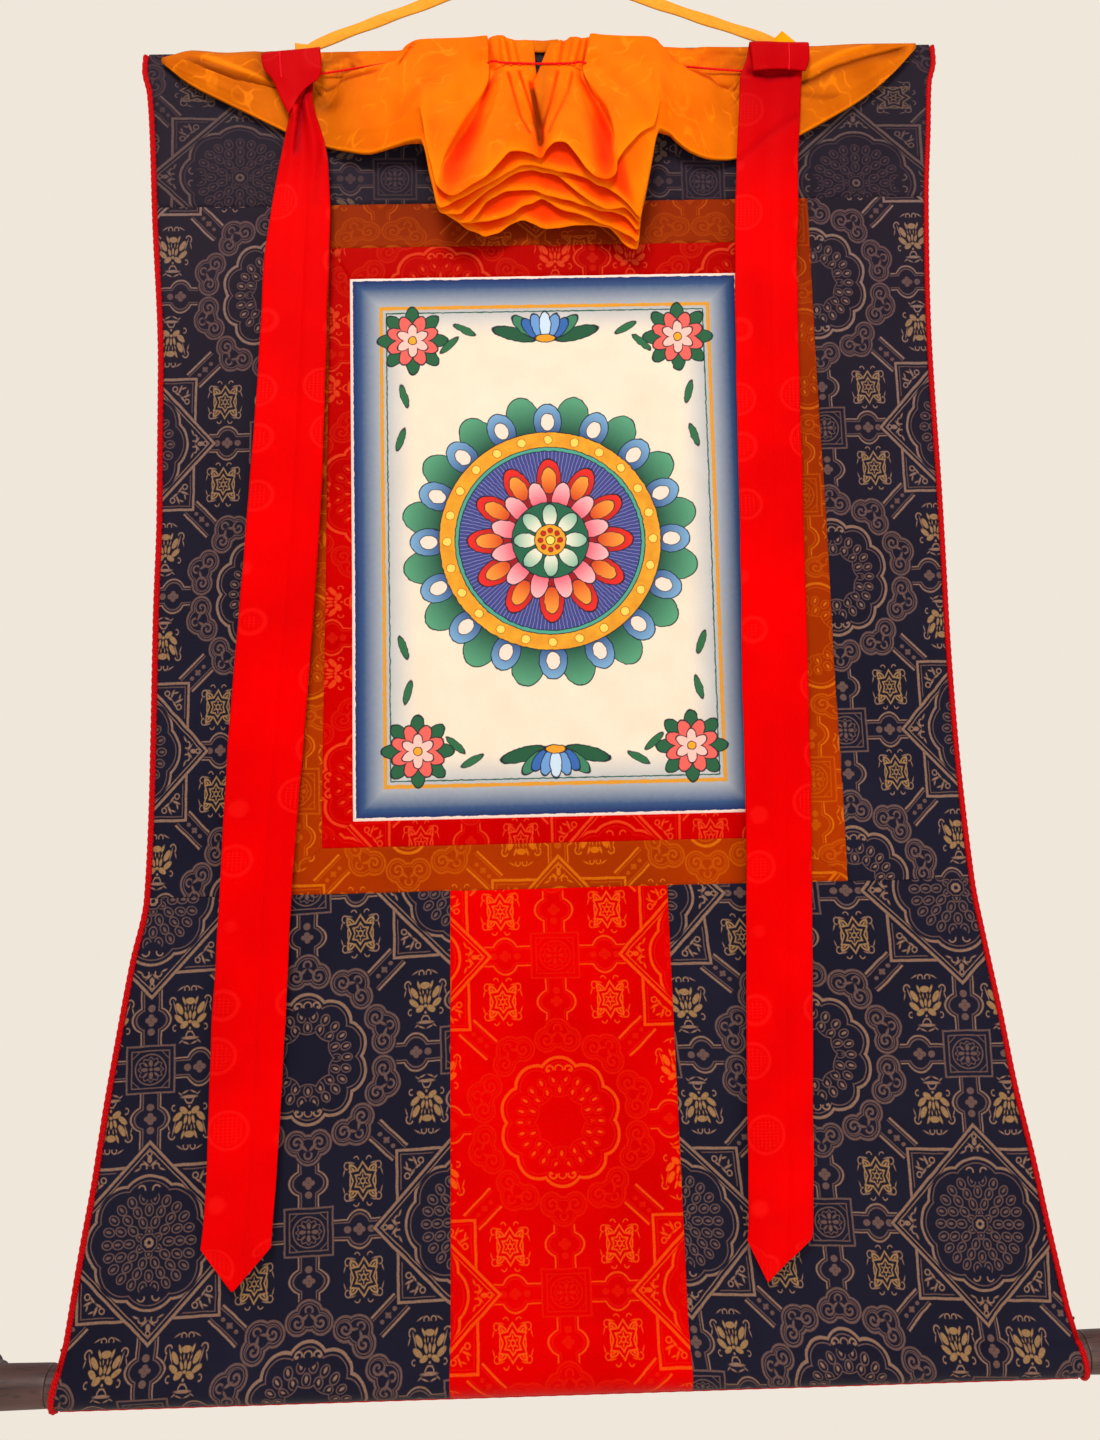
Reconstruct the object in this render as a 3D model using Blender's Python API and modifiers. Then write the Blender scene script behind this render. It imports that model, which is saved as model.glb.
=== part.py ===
"""Thangka scroll painting: a picture in two brocade frames on a dark hanging, with a silk cover tied up.

Metres, +Z up, front towards -Y, +X to the right of someone looking at the picture.
The origin is the hanging point, the top of the tape that the hanging is held by.
"""

import math
from collections import namedtuple

import bmesh
import bpy
from mathutils import Vector

OBJECT_NAME = "Thangka_scroll_painting"

# Cloth and seams
SHEET = 0.0015            # brocade with its seam allowances
CANVAS = 0.0012
SILK = 0.0012
RIBBON = 0.0011
SEAM_GAP = 0.0003
COLUMN_STEP = 0.042       # widest quad along a frame strip
SIDE_MARGIN = 0.7         # of the gap, at each edge of a panel; slanted mitres need more than half

# Flat layout of the front, by height
HEM_TOP = -0.0700
SEAM_HIGH = -0.1990       # dark top strip meets the outer frame
SEAM_LOW = -0.7285        # outer frame meets the lower panels
POCKET_TOP = -1.0360      # stitch line above the rod

Frame = namedtuple("Frame", "top bottom half_top half_bottom")
OUTER_FRAME = Frame(SEAM_HIGH, SEAM_LOW, 0.2075, 0.2125)
INNER_FRAME = Frame(-0.2340, -0.6955, 0.1650, 0.1730)
PICTURE = Frame(-0.2590, -0.6765, 0.1500, 0.1500)
DOOR_HALF_TOP = 0.0800
DOOR_HALF_BOTTOM = 0.0850

# The rim, uneven as it hangs: narrowest beside the picture, flared below
Rim = namedtuple("Rim", "z left right")
RIM = (
    Rim(-0.0700, -0.3100, 0.3150),
    Rim(-0.0860, -0.3112, 0.3156),
    Rim(-0.1050, -0.3073, 0.3113),
    Rim(-0.1450, -0.3046, 0.3082),
    Rim(-0.2000, -0.3026, 0.3036),
    Rim(-0.3300, -0.2968, 0.2993),
    Rim(-0.4400, -0.2973, 0.3000),
    Rim(-0.5200, -0.2995, 0.3000),
    Rim(-0.6100, -0.3002, 0.3015),
    Rim(-0.7285, -0.3041, 0.3072),
    Rim(-0.7750, -0.3137, 0.3140),
    Rim(-0.8300, -0.3231, 0.3232),
    Rim(-0.8780, -0.3311, 0.3304),
    Rim(-0.9300, -0.3389, 0.3402),
    Rim(-0.9740, -0.3467, 0.3474),
    Rim(-1.0400, -0.3572, 0.3588),
    Rim(-1.0830, -0.3640, 0.3660),
)

# Slow undulation of the hung cloth: height, turns across and down in radians a metre, start
Wave = namedtuple("Wave", "height across down start")
WAVES = (
    Wave(0.0022, 15.0, 0.0, 0.8),
    Wave(0.0013, 33.0, 6.0, 2.0),
    Wave(0.0011, 5.0, 21.0, 0.0),
)
WAVE_TOP = -0.255
WAVE_FOOT = -1.030

# Rods
STICK_SIZE = Vector((0.604, 0.0060, 0.0140))
STICK_MIDDLE = 0.0020     # the cloth hangs a little more to the right
STICK_EDGE = 0.0027
STICK_EDGE_STEPS = 3
HEM_ARC = 0.00455         # the cloth's middle layer round the stick
HEM_ARC_STEPS = 6
HEM_END = -0.1010
HEM_TAPER = 0.0100        # length over which the hem comes back to the cloth
ROD_RADIUS = 0.0135
ROD_AXIS = Vector((0.0, 0.0040, -1.0665))
ROD_HALF = 0.3655
ROD_SIDES = 24
ROD_SHARP = 40.0          # degrees
POCKET_ARC = ROD_RADIUS + 0.0015
POCKET_ARC_FIRST = 55.0   # degrees above the front of the rod
POCKET_ARC_LAST = -235.0
POCKET_ARC_STEPS = 13
POCKET_END_DROP = 0.0060  # the hem ends below the stitch line
KNOB_STEPS = 20
KNOB_WELD = 0.0001

# Half section of a knob: distance from the rod's end, and radius
Turn = namedtuple("Turn", "out radius")
KNOB = (
    Turn(0.0720, 0.0000),
    Turn(0.0712, 0.0085),
    Turn(0.0680, 0.0158),
    Turn(0.0620, 0.0206),
    Turn(0.0560, 0.0226),
    Turn(0.0512, 0.0228),
    Turn(0.0502, 0.0219),
    Turn(0.0492, 0.0226),
    Turn(0.0474, 0.0224),
    Turn(0.0464, 0.0214),
    Turn(0.0454, 0.0219),
    Turn(0.0430, 0.0210),
    Turn(0.0418, 0.0176),
    Turn(0.0390, 0.0170),
    Turn(0.0362, 0.0160),
    Turn(0.0350, 0.0146),
    Turn(0.0180, 0.0143),
    Turn(0.0000, 0.0139),
    Turn(0.0000, 0.0000),
)

# Edge cords
PIPING_RADIUS = 0.0021
PIPING_GAP = 0.0004
PIPING_TOP = -0.0740
PIPING_POCKET_STEPS = 6
PIPING_STAND = 0.0018     # further out than the cloth's middle layer, round the pocket
FOOT_PIPING_RADIUS = 0.0010
FOOT_PIPING_STEPS = 8
CORD_ROUNDING = 2

# Rows of the panels, shared with the edge cords
HEM_HEIGHTS = (-0.170, -0.145, -0.122, -0.104, -0.094, -0.084)
SIDE_ROWS = 15
LOWER_ROWS = 11
TOP_COLUMNS = 4
SIDE_COLUMNS = 3
SKIRT_COLUMNS = 6
DOOR_COLUMNS = 4

# Ribbons, a row for each cross-section: from the free edge of the short flap,
# over the fold and down to the shoulders. pleat is how far its middle stands forward.
Band = namedtuple("Band", "z left right y pleat")
STREAMER_LEFT = (
    Band(-0.1010, -0.2055, -0.1712, -0.0134, 0.0000),
    Band(-0.0900, -0.2098, -0.1694, -0.0134, 0.0004),
    Band(-0.0790, -0.2140, -0.1690, -0.0130, 0.0002),
    Band(-0.0766, -0.2144, -0.1694, -0.0104, 0.0000),
    Band(-0.0815, -0.2132, -0.1706, -0.0066, 0.0000),
    Band(-0.0900, -0.2098, -0.1735, -0.0086, 0.0000),
    Band(-0.1030, -0.2062, -0.1758, -0.0098, 0.0004),
    Band(-0.1165, -0.2005, -0.1735, -0.0100, 0.0026),
    Band(-0.1310, -0.1953, -0.1700, -0.0104, 0.0042),
    Band(-0.1490, -0.1982, -0.1668, -0.0102, 0.0034),
    Band(-0.1750, -0.2035, -0.1620, -0.0096, 0.0022),
    Band(-0.2020, -0.2090, -0.1640, -0.0090, 0.0014),
    Band(-0.2500, -0.2135, -0.1662, -0.0088, 0.0008),
    Band(-0.3100, -0.2165, -0.1690, -0.0090, 0.0006),
    Band(-0.4200, -0.2240, -0.1720, -0.0094, 0.0008),
    Band(-0.5110, -0.2310, -0.1760, -0.0098, 0.0006),
    Band(-0.6220, -0.2400, -0.1850, -0.0094, 0.0008),
    Band(-0.7170, -0.2450, -0.1930, -0.0090, 0.0006),
    Band(-0.8300, -0.2510, -0.1990, -0.0094, 0.0007),
    Band(-0.9400, -0.2550, -0.2060, -0.0088, 0.0006),
    Band(-0.9730, -0.2580, -0.2090, -0.0084, 0.0006),
)
STREAMER_RIGHT = (
    Band(-0.1025, 0.1672, 0.2062, -0.0136, 0.0000),
    Band(-0.0910, 0.1652, 0.2108, -0.0134, 0.0005),
    Band(-0.0790, 0.1640, 0.2112, -0.0130, 0.0002),
    Band(-0.0762, 0.1642, 0.2108, -0.0104, 0.0000),
    Band(-0.0815, 0.1635, 0.2085, -0.0066, 0.0000),
    Band(-0.0900, 0.1602, 0.2062, -0.0086, 0.0000),
    Band(-0.1050, 0.1575, 0.2050, -0.0098, 0.0003),
    Band(-0.1250, 0.1555, 0.2036, -0.0096, 0.0006),
    Band(-0.1470, 0.1540, 0.2020, -0.0096, 0.0008),
    Band(-0.1710, 0.1510, 0.1982, -0.0092, 0.0008),
    Band(-0.2100, 0.1490, 0.1962, -0.0088, 0.0007),
    Band(-0.2530, 0.1470, 0.1950, -0.0086, 0.0006),
    Band(-0.3650, 0.1440, 0.1920, -0.0090, 0.0007),
    Band(-0.4810, 0.1420, 0.1900, -0.0094, 0.0006),
    Band(-0.5940, 0.1390, 0.1880, -0.0098, 0.0008),
    Band(-0.6760, 0.1380, 0.1860, -0.0094, 0.0006),
    Band(-0.8110, 0.1330, 0.1810, -0.0090, 0.0007),
    Band(-0.8900, 0.1305, 0.1776, -0.0090, 0.0006),
    Band(-0.9710, 0.1280, 0.1740, -0.0086, 0.0006),
    Band(-0.9780, 0.1273, 0.1728, -0.0084, 0.0006),
)
STREAMER_COLUMNS = 6
TIP_ROWS = 2
Tip = namedtuple("Tip", "share drop")
TIP_LEFT = Tip(0.45, 0.0300)
TIP_RIGHT = Tip(0.28, 0.0290)

# Silk cover, a row for each upright line of the cloth, from left to right.
# at_top and at_low: where the line stands above the tie cord and at the lowest folds.
# top: upper edge. pocket: foot of the tuck that holds the cord, 0 where there is none.
# fold: crest of that tuck, or the neck under the cord.
# lip1 to lip5: lower turns of the layers, front to back. FLAT stands for a turn that isn't there.
# gather: 1 where folded layers lie behind. top_y to lip_y: depths.
Line = namedtuple("Line", "at_top at_low top pocket fold lip1 lip2 lip3 lip4 lip5 "
                          "gather top_y fold_y mid_y belly_y lip_y")
FLAT = 0.0
SILK_LINES = (
    Line(-0.2940, -0.2940, -0.0780, FLAT, -0.0800, FLAT, -0.0880, FLAT, FLAT, FLAT, 0,
         -0.0018, -0.0040, -0.0046, -0.0048, -0.0046),
    Line(-0.2720, -0.2720, -0.0712, FLAT, -0.0780, FLAT, -0.1010, FLAT, FLAT, FLAT, 0,
         -0.0013, -0.0050, -0.0082, -0.0070, -0.0050),
    Line(-0.2440, -0.2440, -0.0735, FLAT, -0.0840, FLAT, -0.1170, FLAT, FLAT, FLAT, 0,
         -0.0013, -0.0062, -0.0108, -0.0084, -0.0056),
    Line(-0.2160, -0.2160, -0.0722, FLAT, -0.0870, FLAT, -0.1315, FLAT, FLAT, FLAT, 0,
         -0.0013, -0.0048, -0.0066, -0.0062, -0.0052),
    Line(-0.1900, -0.1900, -0.0735, FLAT, -0.0900, FLAT, -0.1450, FLAT, FLAT, FLAT, 0,
         -0.0013, -0.0048, -0.0050, -0.0050, -0.0050),
    Line(-0.1660, -0.1660, -0.0740, FLAT, -0.1250, FLAT, -0.1545, FLAT, FLAT, FLAT, 0,
         -0.0013, -0.0048, -0.0054, -0.0054, -0.0052),
    Line(-0.1500, -0.1500, -0.0735, -0.1150, -0.0985, FLAT, -0.1600, FLAT, FLAT, FLAT, 0,
         -0.0013, -0.0098, -0.0120, -0.0108, -0.0082),
    Line(-0.1320, -0.1320, -0.0735, -0.1130, -0.0940, FLAT, -0.1632, FLAT, FLAT, FLAT, 0,
         -0.0013, -0.0112, -0.0142, -0.0132, -0.0100),
    Line(-0.1120, -0.1120, -0.0735, -0.1120, -0.0900, FLAT, -0.1588, FLAT, FLAT, FLAT, 0,
         -0.0013, -0.0120, -0.0160, -0.0160, -0.0130),
    Line(-0.1030, -0.1030, -0.0722, -0.1120, -0.0775, FLAT, -0.1580, FLAT, FLAT, FLAT, 0,
         -0.0013, -0.0120, -0.0172, -0.0186, -0.0160),
    Line(-0.0920, -0.0930, -0.0710, -0.1120, -0.0716, FLAT, -0.1595, FLAT, FLAT, FLAT, 0,
         -0.0013, -0.0120, -0.0186, -0.0240, -0.0215),
    Line(-0.0740, -0.0855, -0.0702, -0.1120, -0.0706, FLAT, -0.1760, -0.1650, -0.1620, -0.1600, 1,
         -0.0013, -0.0120, -0.0206, -0.0300, -0.0262),
    Line(-0.0640, -0.0815, -0.0698, -0.1120, -0.0700, FLAT, -0.2000, -0.1850, -0.1780, -0.1720, 1,
         -0.0013, -0.0120, -0.0222, -0.0325, -0.0280),
    Line(-0.0550, -0.0780, -0.0690, -0.1120, -0.0692, FLAT, -0.2170, -0.2050, -0.1950, -0.1880, 1,
         -0.0013, -0.0120, -0.0242, -0.0345, -0.0295),
    Line(-0.0465, -0.0750, -0.0680, -0.1120, -0.0680, FLAT, -0.2235, -0.2150, -0.2080, -0.1980, 1,
         -0.0013, -0.0120, -0.0262, -0.0358, -0.0305),
    Line(-0.0440, -0.0734, -0.0690, -0.1110, -0.1010, FLAT, -0.2238, -0.2180, -0.2120, -0.2020, 1,
         -0.0040, -0.0105, -0.0250, -0.0362, -0.0308),
    Line(-0.0405, -0.0700, -0.0700, FLAT, -0.1100, -0.2060, -0.2230, -0.2220, -0.2150, -0.2100, 1,
         -0.0052, -0.0080, -0.0125, -0.0352, -0.0300),
    Line(-0.0375, -0.0630, -0.0690, FLAT, -0.1100, -0.2140, -0.2205, -0.2275, -0.2185, -0.2180, 1,
         -0.0052, -0.0080, -0.0170, -0.0380, -0.0310),
    Line(-0.0330, -0.0550, -0.0685, FLAT, -0.1100, -0.2100, -0.2170, -0.2255, -0.2225, -0.2280, 1,
         -0.0062, -0.0084, -0.0250, -0.0390, -0.0320),
    Line(-0.0290, -0.0470, -0.0685, FLAT, -0.1100, -0.2050, -0.2120, -0.2170, -0.2230, -0.2315, 1,
         -0.0062, -0.0085, -0.0290, -0.0390, -0.0320),
    Line(-0.0255, -0.0380, -0.0700, FLAT, -0.1100, -0.1975, -0.2060, -0.2095, -0.2220, -0.2300, 1,
         -0.0052, -0.0074, -0.0262, -0.0384, -0.0315),
    Line(-0.0215, -0.0300, -0.0720, FLAT, -0.1100, -0.1890, -0.2020, -0.2040, -0.2200, -0.2270, 1,
         -0.0062, -0.0085, -0.0252, -0.0380, -0.0310),
    Line(-0.0180, -0.0225, -0.0730, FLAT, -0.1100, -0.1805, -0.1970, -0.2020, -0.2155, -0.2215, 1,
         -0.0052, -0.0074, -0.0215, -0.0365, -0.0300),
    Line(-0.0130, -0.0150, -0.0730, FLAT, -0.1100, -0.1790, -0.1910, -0.2015, -0.2095, -0.2200, 1,
         -0.0056, -0.0080, -0.0180, -0.0345, -0.0285),
    Line(-0.0060, -0.0075, -0.0740, FLAT, -0.1100, -0.1810, -0.1935, -0.2015, -0.2070, -0.2220, 1,
         -0.0052, -0.0074, -0.0128, -0.0325, -0.0270),
    Line(-0.0020, -0.0010, -0.0985, FLAT, -0.1120, -0.1830, -0.1940, -0.2040, -0.2100, -0.2250, 1,
         -0.0062, -0.0072, -0.0100, -0.0310, -0.0260),
    Line(0.0040, 0.0050, -0.0760, FLAT, -0.1100, -0.1760, -0.1935, -0.2080, -0.2145, -0.2250, 1,
         -0.0056, -0.0080, -0.0138, -0.0340, -0.0280),
    Line(0.0110, 0.0110, -0.0735, FLAT, -0.1100, -0.1740, -0.1940, -0.2090, -0.2130, -0.2250, 1,
         -0.0052, -0.0074, -0.0190, -0.0365, -0.0300),
    Line(0.0170, 0.0180, -0.0720, FLAT, -0.1100, -0.1750, -0.1980, -0.2110, -0.2145, -0.2240, 1,
         -0.0062, -0.0085, -0.0230, -0.0380, -0.0310),
    Line(0.0220, 0.0270, -0.0715, FLAT, -0.1100, -0.1860, -0.2100, -0.2140, -0.2180, -0.2240, 1,
         -0.0052, -0.0074, -0.0270, -0.0390, -0.0320),
    Line(0.0260, 0.0340, -0.0705, FLAT, -0.1100, -0.1980, -0.2140, -0.2165, -0.2215, -0.2235, 1,
         -0.0062, -0.0085, -0.0290, -0.0395, -0.0320),
    Line(0.0300, 0.0410, -0.0705, FLAT, -0.1100, -0.2045, -0.2190, -0.2200, -0.2250, -0.2240, 1,
         -0.0060, -0.0080, -0.0280, -0.0395, -0.0320),
    Line(0.0335, 0.0470, -0.0705, FLAT, -0.1100, -0.2060, -0.2210, -0.2225, -0.2280, -0.2250, 1,
         -0.0060, -0.0080, -0.0240, -0.0390, -0.0320),
    Line(0.0365, 0.0530, -0.0710, FLAT, -0.1100, -0.2010, -0.2230, -0.2245, -0.2320, -0.2260, 1,
         -0.0056, -0.0080, -0.0170, -0.0380, -0.0310),
    Line(0.0395, 0.0565, -0.0720, FLAT, -0.1100, -0.1900, -0.2245, -0.2270, -0.2370, -0.2250, 1,
         -0.0052, -0.0080, -0.0125, -0.0355, -0.0305),
    Line(0.0430, 0.0585, -0.0725, -0.1110, -0.1020, FLAT, -0.2060, -0.2280, -0.2400, -0.2230, 1,
         -0.0040, -0.0105, -0.0245, -0.0350, -0.0300),
    Line(0.0460, 0.0610, -0.0715, -0.1120, -0.0717, FLAT, -0.1890, -0.2290, -0.2430, -0.2200, 1,
         -0.0013, -0.0120, -0.0250, -0.0340, -0.0295),
    Line(0.0530, 0.0655, -0.0710, -0.1120, -0.0712, FLAT, -0.1730, -0.2300, -0.2470, -0.2180, 1,
         -0.0013, -0.0120, -0.0235, -0.0325, -0.0285),
    Line(0.0620, 0.0700, -0.0708, -0.1120, -0.0710, FLAT, -0.1635, -0.2290, -0.2480, -0.2150, 1,
         -0.0013, -0.0120, -0.0220, -0.0310, -0.0275),
    Line(0.0700, 0.0735, -0.0708, -0.1120, -0.0710, FLAT, -0.1580, -0.2160, -0.2300, -0.2050, 1,
         -0.0013, -0.0120, -0.0205, -0.0295, -0.0265),
    Line(0.0780, 0.0785, -0.0710, -0.1120, -0.0712, FLAT, -0.1535, -0.1900, -0.1950, -0.1850, 1,
         -0.0013, -0.0120, -0.0192, -0.0280, -0.0255),
    Line(0.0850, 0.0850, -0.0715, -0.1120, -0.0718, FLAT, -0.1500, -0.1630, -0.1650, -0.1620, 1,
         -0.0013, -0.0120, -0.0186, -0.0265, -0.0240),
    Line(0.0920, 0.0920, -0.0720, -0.1120, -0.0745, FLAT, -0.1470, FLAT, FLAT, FLAT, 0,
         -0.0013, -0.0120, -0.0180, -0.0232, -0.0205),
    Line(0.0985, 0.0985, -0.0730, -0.1120, -0.0830, FLAT, -0.1515, FLAT, FLAT, FLAT, 0,
         -0.0013, -0.0120, -0.0172, -0.0190, -0.0165),
    Line(0.1050, 0.1050, -0.0735, -0.1140, -0.0935, FLAT, -0.1560, FLAT, FLAT, FLAT, 0,
         -0.0013, -0.0116, -0.0164, -0.0168, -0.0140),
    Line(0.1170, 0.1170, -0.0742, -0.1170, -0.0975, FLAT, -0.1635, FLAT, FLAT, FLAT, 0,
         -0.0013, -0.0110, -0.0150, -0.0144, -0.0116),
    Line(0.1330, 0.1330, -0.0735, -0.1200, -0.1035, FLAT, -0.1680, FLAT, FLAT, FLAT, 0,
         -0.0013, -0.0096, -0.0120, -0.0108, -0.0084),
    Line(0.1480, 0.1480, -0.0738, FLAT, -0.1280, FLAT, -0.1690, FLAT, FLAT, FLAT, 0,
         -0.0013, -0.0048, -0.0054, -0.0054, -0.0052),
    Line(0.1700, 0.1700, -0.0745, FLAT, -0.0950, FLAT, -0.1640, FLAT, FLAT, FLAT, 0,
         -0.0013, -0.0048, -0.0050, -0.0050, -0.0050),
    Line(0.1900, 0.1900, -0.0745, FLAT, -0.0950, FLAT, -0.1560, FLAT, FLAT, FLAT, 0,
         -0.0013, -0.0048, -0.0050, -0.0050, -0.0050),
    Line(0.2100, 0.2100, -0.0745, FLAT, -0.0920, FLAT, -0.1460, FLAT, FLAT, FLAT, 0,
         -0.0013, -0.0048, -0.0062, -0.0060, -0.0052),
    Line(0.2300, 0.2300, -0.0738, FLAT, -0.0880, FLAT, -0.1350, FLAT, FLAT, FLAT, 0,
         -0.0013, -0.0066, -0.0104, -0.0080, -0.0056),
    Line(0.2540, 0.2540, -0.0728, FLAT, -0.0830, FLAT, -0.1200, FLAT, FLAT, FLAT, 0,
         -0.0013, -0.0060, -0.0100, -0.0076, -0.0052),
    Line(0.2780, 0.2780, -0.0728, FLAT, -0.0780, FLAT, -0.1000, FLAT, FLAT, FLAT, 0,
         -0.0013, -0.0050, -0.0070, -0.0060, -0.0050),
    Line(0.2980, 0.2980, -0.0742, FLAT, -0.0760, FLAT, -0.0840, FLAT, FLAT, FLAT, 0,
         -0.0018, -0.0040, -0.0046, -0.0048, -0.0046),
)
SPREAD_TOP = -0.092
SPREAD_FOOT = -0.215
SPREAD_POWER = 0.85
STRIP_Y = -0.0042         # strip behind the cord, at the foot of the tuck
CREST_DROP = 0.0060
CREST_FORWARD = 0.0008
FIRST_RISE = 0.0080       # how far the first hidden turn stands above its lips
TURN_RISE = 0.0130
RETURN_Y = -0.0031        # plain layer behind the wings
RETURN_SHARE = 0.72
RETURN_TURN = 0.0019      # least depth of the turn at the foot of a wing
RETURN_TURN_SHARE = 0.3
RETURN_ROWS = 15
LAST_LIP_Y = -0.0100
LAST_RISE = 0.0200
LAST_BACK = 0.0036
NECK_SHARES = (0.62, 0.78, 1.00)
FRONT_SHARES = (0.22, 0.42, 0.62, 0.82)
UPPER_DEPTHS = (0.55, 0.95)     # shares of the way from the top depth to the middle one
LOWER_DEPTHS = (0.50, 0.92)     # and from there to the deepest
FOOT_DEPTHS = (0.30, 0.55, 0.80)
PLAIN_SHARES = (0.72, 0.79, 0.86, 0.93)
TURN_SHARES = (0.45, 0.52, 0.93)

# Tie cord of the silk and the hanging tape: hand-placed routes
TIE_RADIUS = 0.0008
TIE_STEPS = 60
TIE_ROUTE = (
    Vector((-0.1800, -0.0072, -0.0972)),
    Vector((-0.1660, -0.0072, -0.0955)),
    Vector((-0.1500, -0.0068, -0.0928)),
    Vector((-0.1320, -0.0062, -0.0896)),
    Vector((-0.1150, -0.0062, -0.0874)),
    Vector((-0.1000, -0.0062, -0.0868)),
    Vector((-0.0820, -0.0062, -0.0878)),
    Vector((-0.0620, -0.0060, -0.0892)),
    Vector((-0.0520, -0.0061, -0.0898)),
    Vector((-0.0465, -0.0063, -0.0902)),
    Vector((-0.0438, -0.0084, -0.0904)),
    Vector((-0.0405, -0.0102, -0.0906)),
    Vector((-0.0340, -0.0106, -0.0909)),
    Vector((-0.0180, -0.0106, -0.0914)),
    Vector((0.0000, -0.0104, -0.0920)),
    Vector((0.0180, -0.0106, -0.0926)),
    Vector((0.0330, -0.0106, -0.0928)),
    Vector((0.0398, -0.0102, -0.0928)),
    Vector((0.0432, -0.0084, -0.0927)),
    Vector((0.0460, -0.0063, -0.0925)),
    Vector((0.0520, -0.0061, -0.0924)),
    Vector((0.0700, -0.0060, -0.0920)),
    Vector((0.0900, -0.0062, -0.0917)),
    Vector((0.1040, -0.0062, -0.0922)),
    Vector((0.1190, -0.0062, -0.0937)),
    Vector((0.1340, -0.0064, -0.0955)),
    Vector((0.1480, -0.0070, -0.0972)),
    Vector((0.1660, -0.0072, -0.0988)),
)
TAPE_WIDTH = 0.0090
TAPE_THICKNESS = 0.0012
TAPE_STEPS = 56
TAPE_TURN_WITHIN = 0.0800 # from here to the hanging point it turns to lie flat
TAPE_ROUTE = (
    Vector((-0.1925, 0.0116, -0.0880)),
    Vector((-0.1895, 0.0116, -0.0780)),
    Vector((-0.1860, 0.0116, -0.0680)),
    Vector((-0.1800, 0.0113, -0.0600)),
    Vector((-0.1650, 0.0103, -0.0536)),
    Vector((-0.1300, 0.0081, -0.0418)),
    Vector((-0.0900, 0.0056, -0.0288)),
    Vector((-0.0500, 0.0031, -0.0158)),
    Vector((-0.0150, 0.0009, -0.0044)),
    Vector((0.0000, 0.0000, 0.0000)),
    Vector((0.0150, 0.0009, -0.0044)),
    Vector((0.0500, 0.0029, -0.0158)),
    Vector((0.0950, 0.0054, -0.0304)),
    Vector((0.1400, 0.0079, -0.0450)),
    Vector((0.1800, 0.0102, -0.0576)),
    Vector((0.1930, 0.0113, -0.0636)),
    Vector((0.1985, 0.0116, -0.0700)),
    Vector((0.2010, 0.0116, -0.0790)),
    Vector((0.2030, 0.0116, -0.0880)),
)


def clear_scene():
    """Remove the objects of the open file."""
    for item in list(bpy.data.objects):
        bpy.data.objects.remove(item, do_unlink=True)


def part_collection():
    """Collection that holds every sub-part."""
    collection = bpy.data.collections.new(OBJECT_NAME)
    bpy.context.scene.collection.children.link(collection)
    return collection


def finish_material(name, colour, roughness, metallic=0.0):
    """Principled material of one sub-part."""
    material = bpy.data.materials.new(name)
    material.use_nodes = True
    shader = material.node_tree.nodes["Principled BSDF"]
    shader.inputs["Base Color"].default_value = (*colour, 1.0)
    shader.inputs["Roughness"].default_value = roughness
    shader.inputs["Metallic"].default_value = metallic
    return material


def navy_brocade():
    return finish_material("navy_brocade", (0.020, 0.025, 0.055), 0.55)


def orange_brocade():
    return finish_material("orange_brocade", (0.420, 0.105, 0.020), 0.55)


def red_brocade():
    return finish_material("red_brocade", (0.480, 0.010, 0.010), 0.55)


def door_brocade():
    return finish_material("door_brocade", (0.500, 0.030, 0.012), 0.55)


def painted_canvas():
    return finish_material("painted_canvas", (0.700, 0.600, 0.420), 0.75)


def red_cord():
    return finish_material("red_cord", (0.550, 0.010, 0.012), 0.60)


def orange_silk():
    return finish_material("orange_silk", (0.900, 0.260, 0.010), 0.45)


def red_silk():
    return finish_material("red_silk", (0.650, 0.004, 0.006), 0.45)


def orange_tape():
    return finish_material("orange_tape", (0.900, 0.330, 0.030), 0.60)


def turned_wood():
    return finish_material("turned_wood", (0.120, 0.035, 0.025), 0.40)


def plain_wood():
    return finish_material("plain_wood", (0.350, 0.220, 0.120), 0.65)


def place_object(name, data, material, collection):
    """Put a mesh or curve in the collection with its material."""
    part = bpy.data.objects.new(name, data)
    data.materials.append(material)
    collection.objects.link(part)
    return part


def sheet(name, size, place, thickness, material, collection):
    """Closed cloth: a grid of the given columns and rows, laid by place(across, down), and thickened."""
    columns, rows = size
    mesh = bpy.data.meshes.new(name)
    grid = bmesh.new()
    bmesh.ops.create_grid(grid, x_segments=columns, y_segments=rows, size=0.5)
    for vert in grid.verts:
        vert.co = place(vert.co.x + 0.5, 0.5 - vert.co.y)
    grid.to_mesh(mesh)
    grid.free()
    mesh.shade_smooth()
    part = place_object(name, mesh, material, collection)
    shell = part.modifiers.new("Thickness", "SOLIDIFY")
    shell.thickness = thickness
    shell.offset = 0.0
    return part


def cord(name, points, radius, material, collection):
    """Round cord along a list of points."""
    curve = bpy.data.curves.new(name, "CURVE")
    curve.dimensions = "3D"
    curve.bevel_depth = radius
    curve.bevel_resolution = CORD_ROUNDING
    curve.use_fill_caps = True
    spline = curve.splines.new("POLY")
    spline.points.add(len(points) - 1)
    for knot, point in zip(spline.points, points):
        knot.co = (*point, 1.0)
    return place_object(name, curve, material, collection)


def hermite(start, end, start_slope, end_slope, share):
    """Cubic between two values with the slopes given for the whole span."""
    square, cube = share ** 2, share ** 3
    return (start * (2 * cube - 3 * square + 1) + start_slope * (cube - 2 * square + share)
            + end * (3 * square - 2 * cube) + end_slope * (cube - square))


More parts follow.
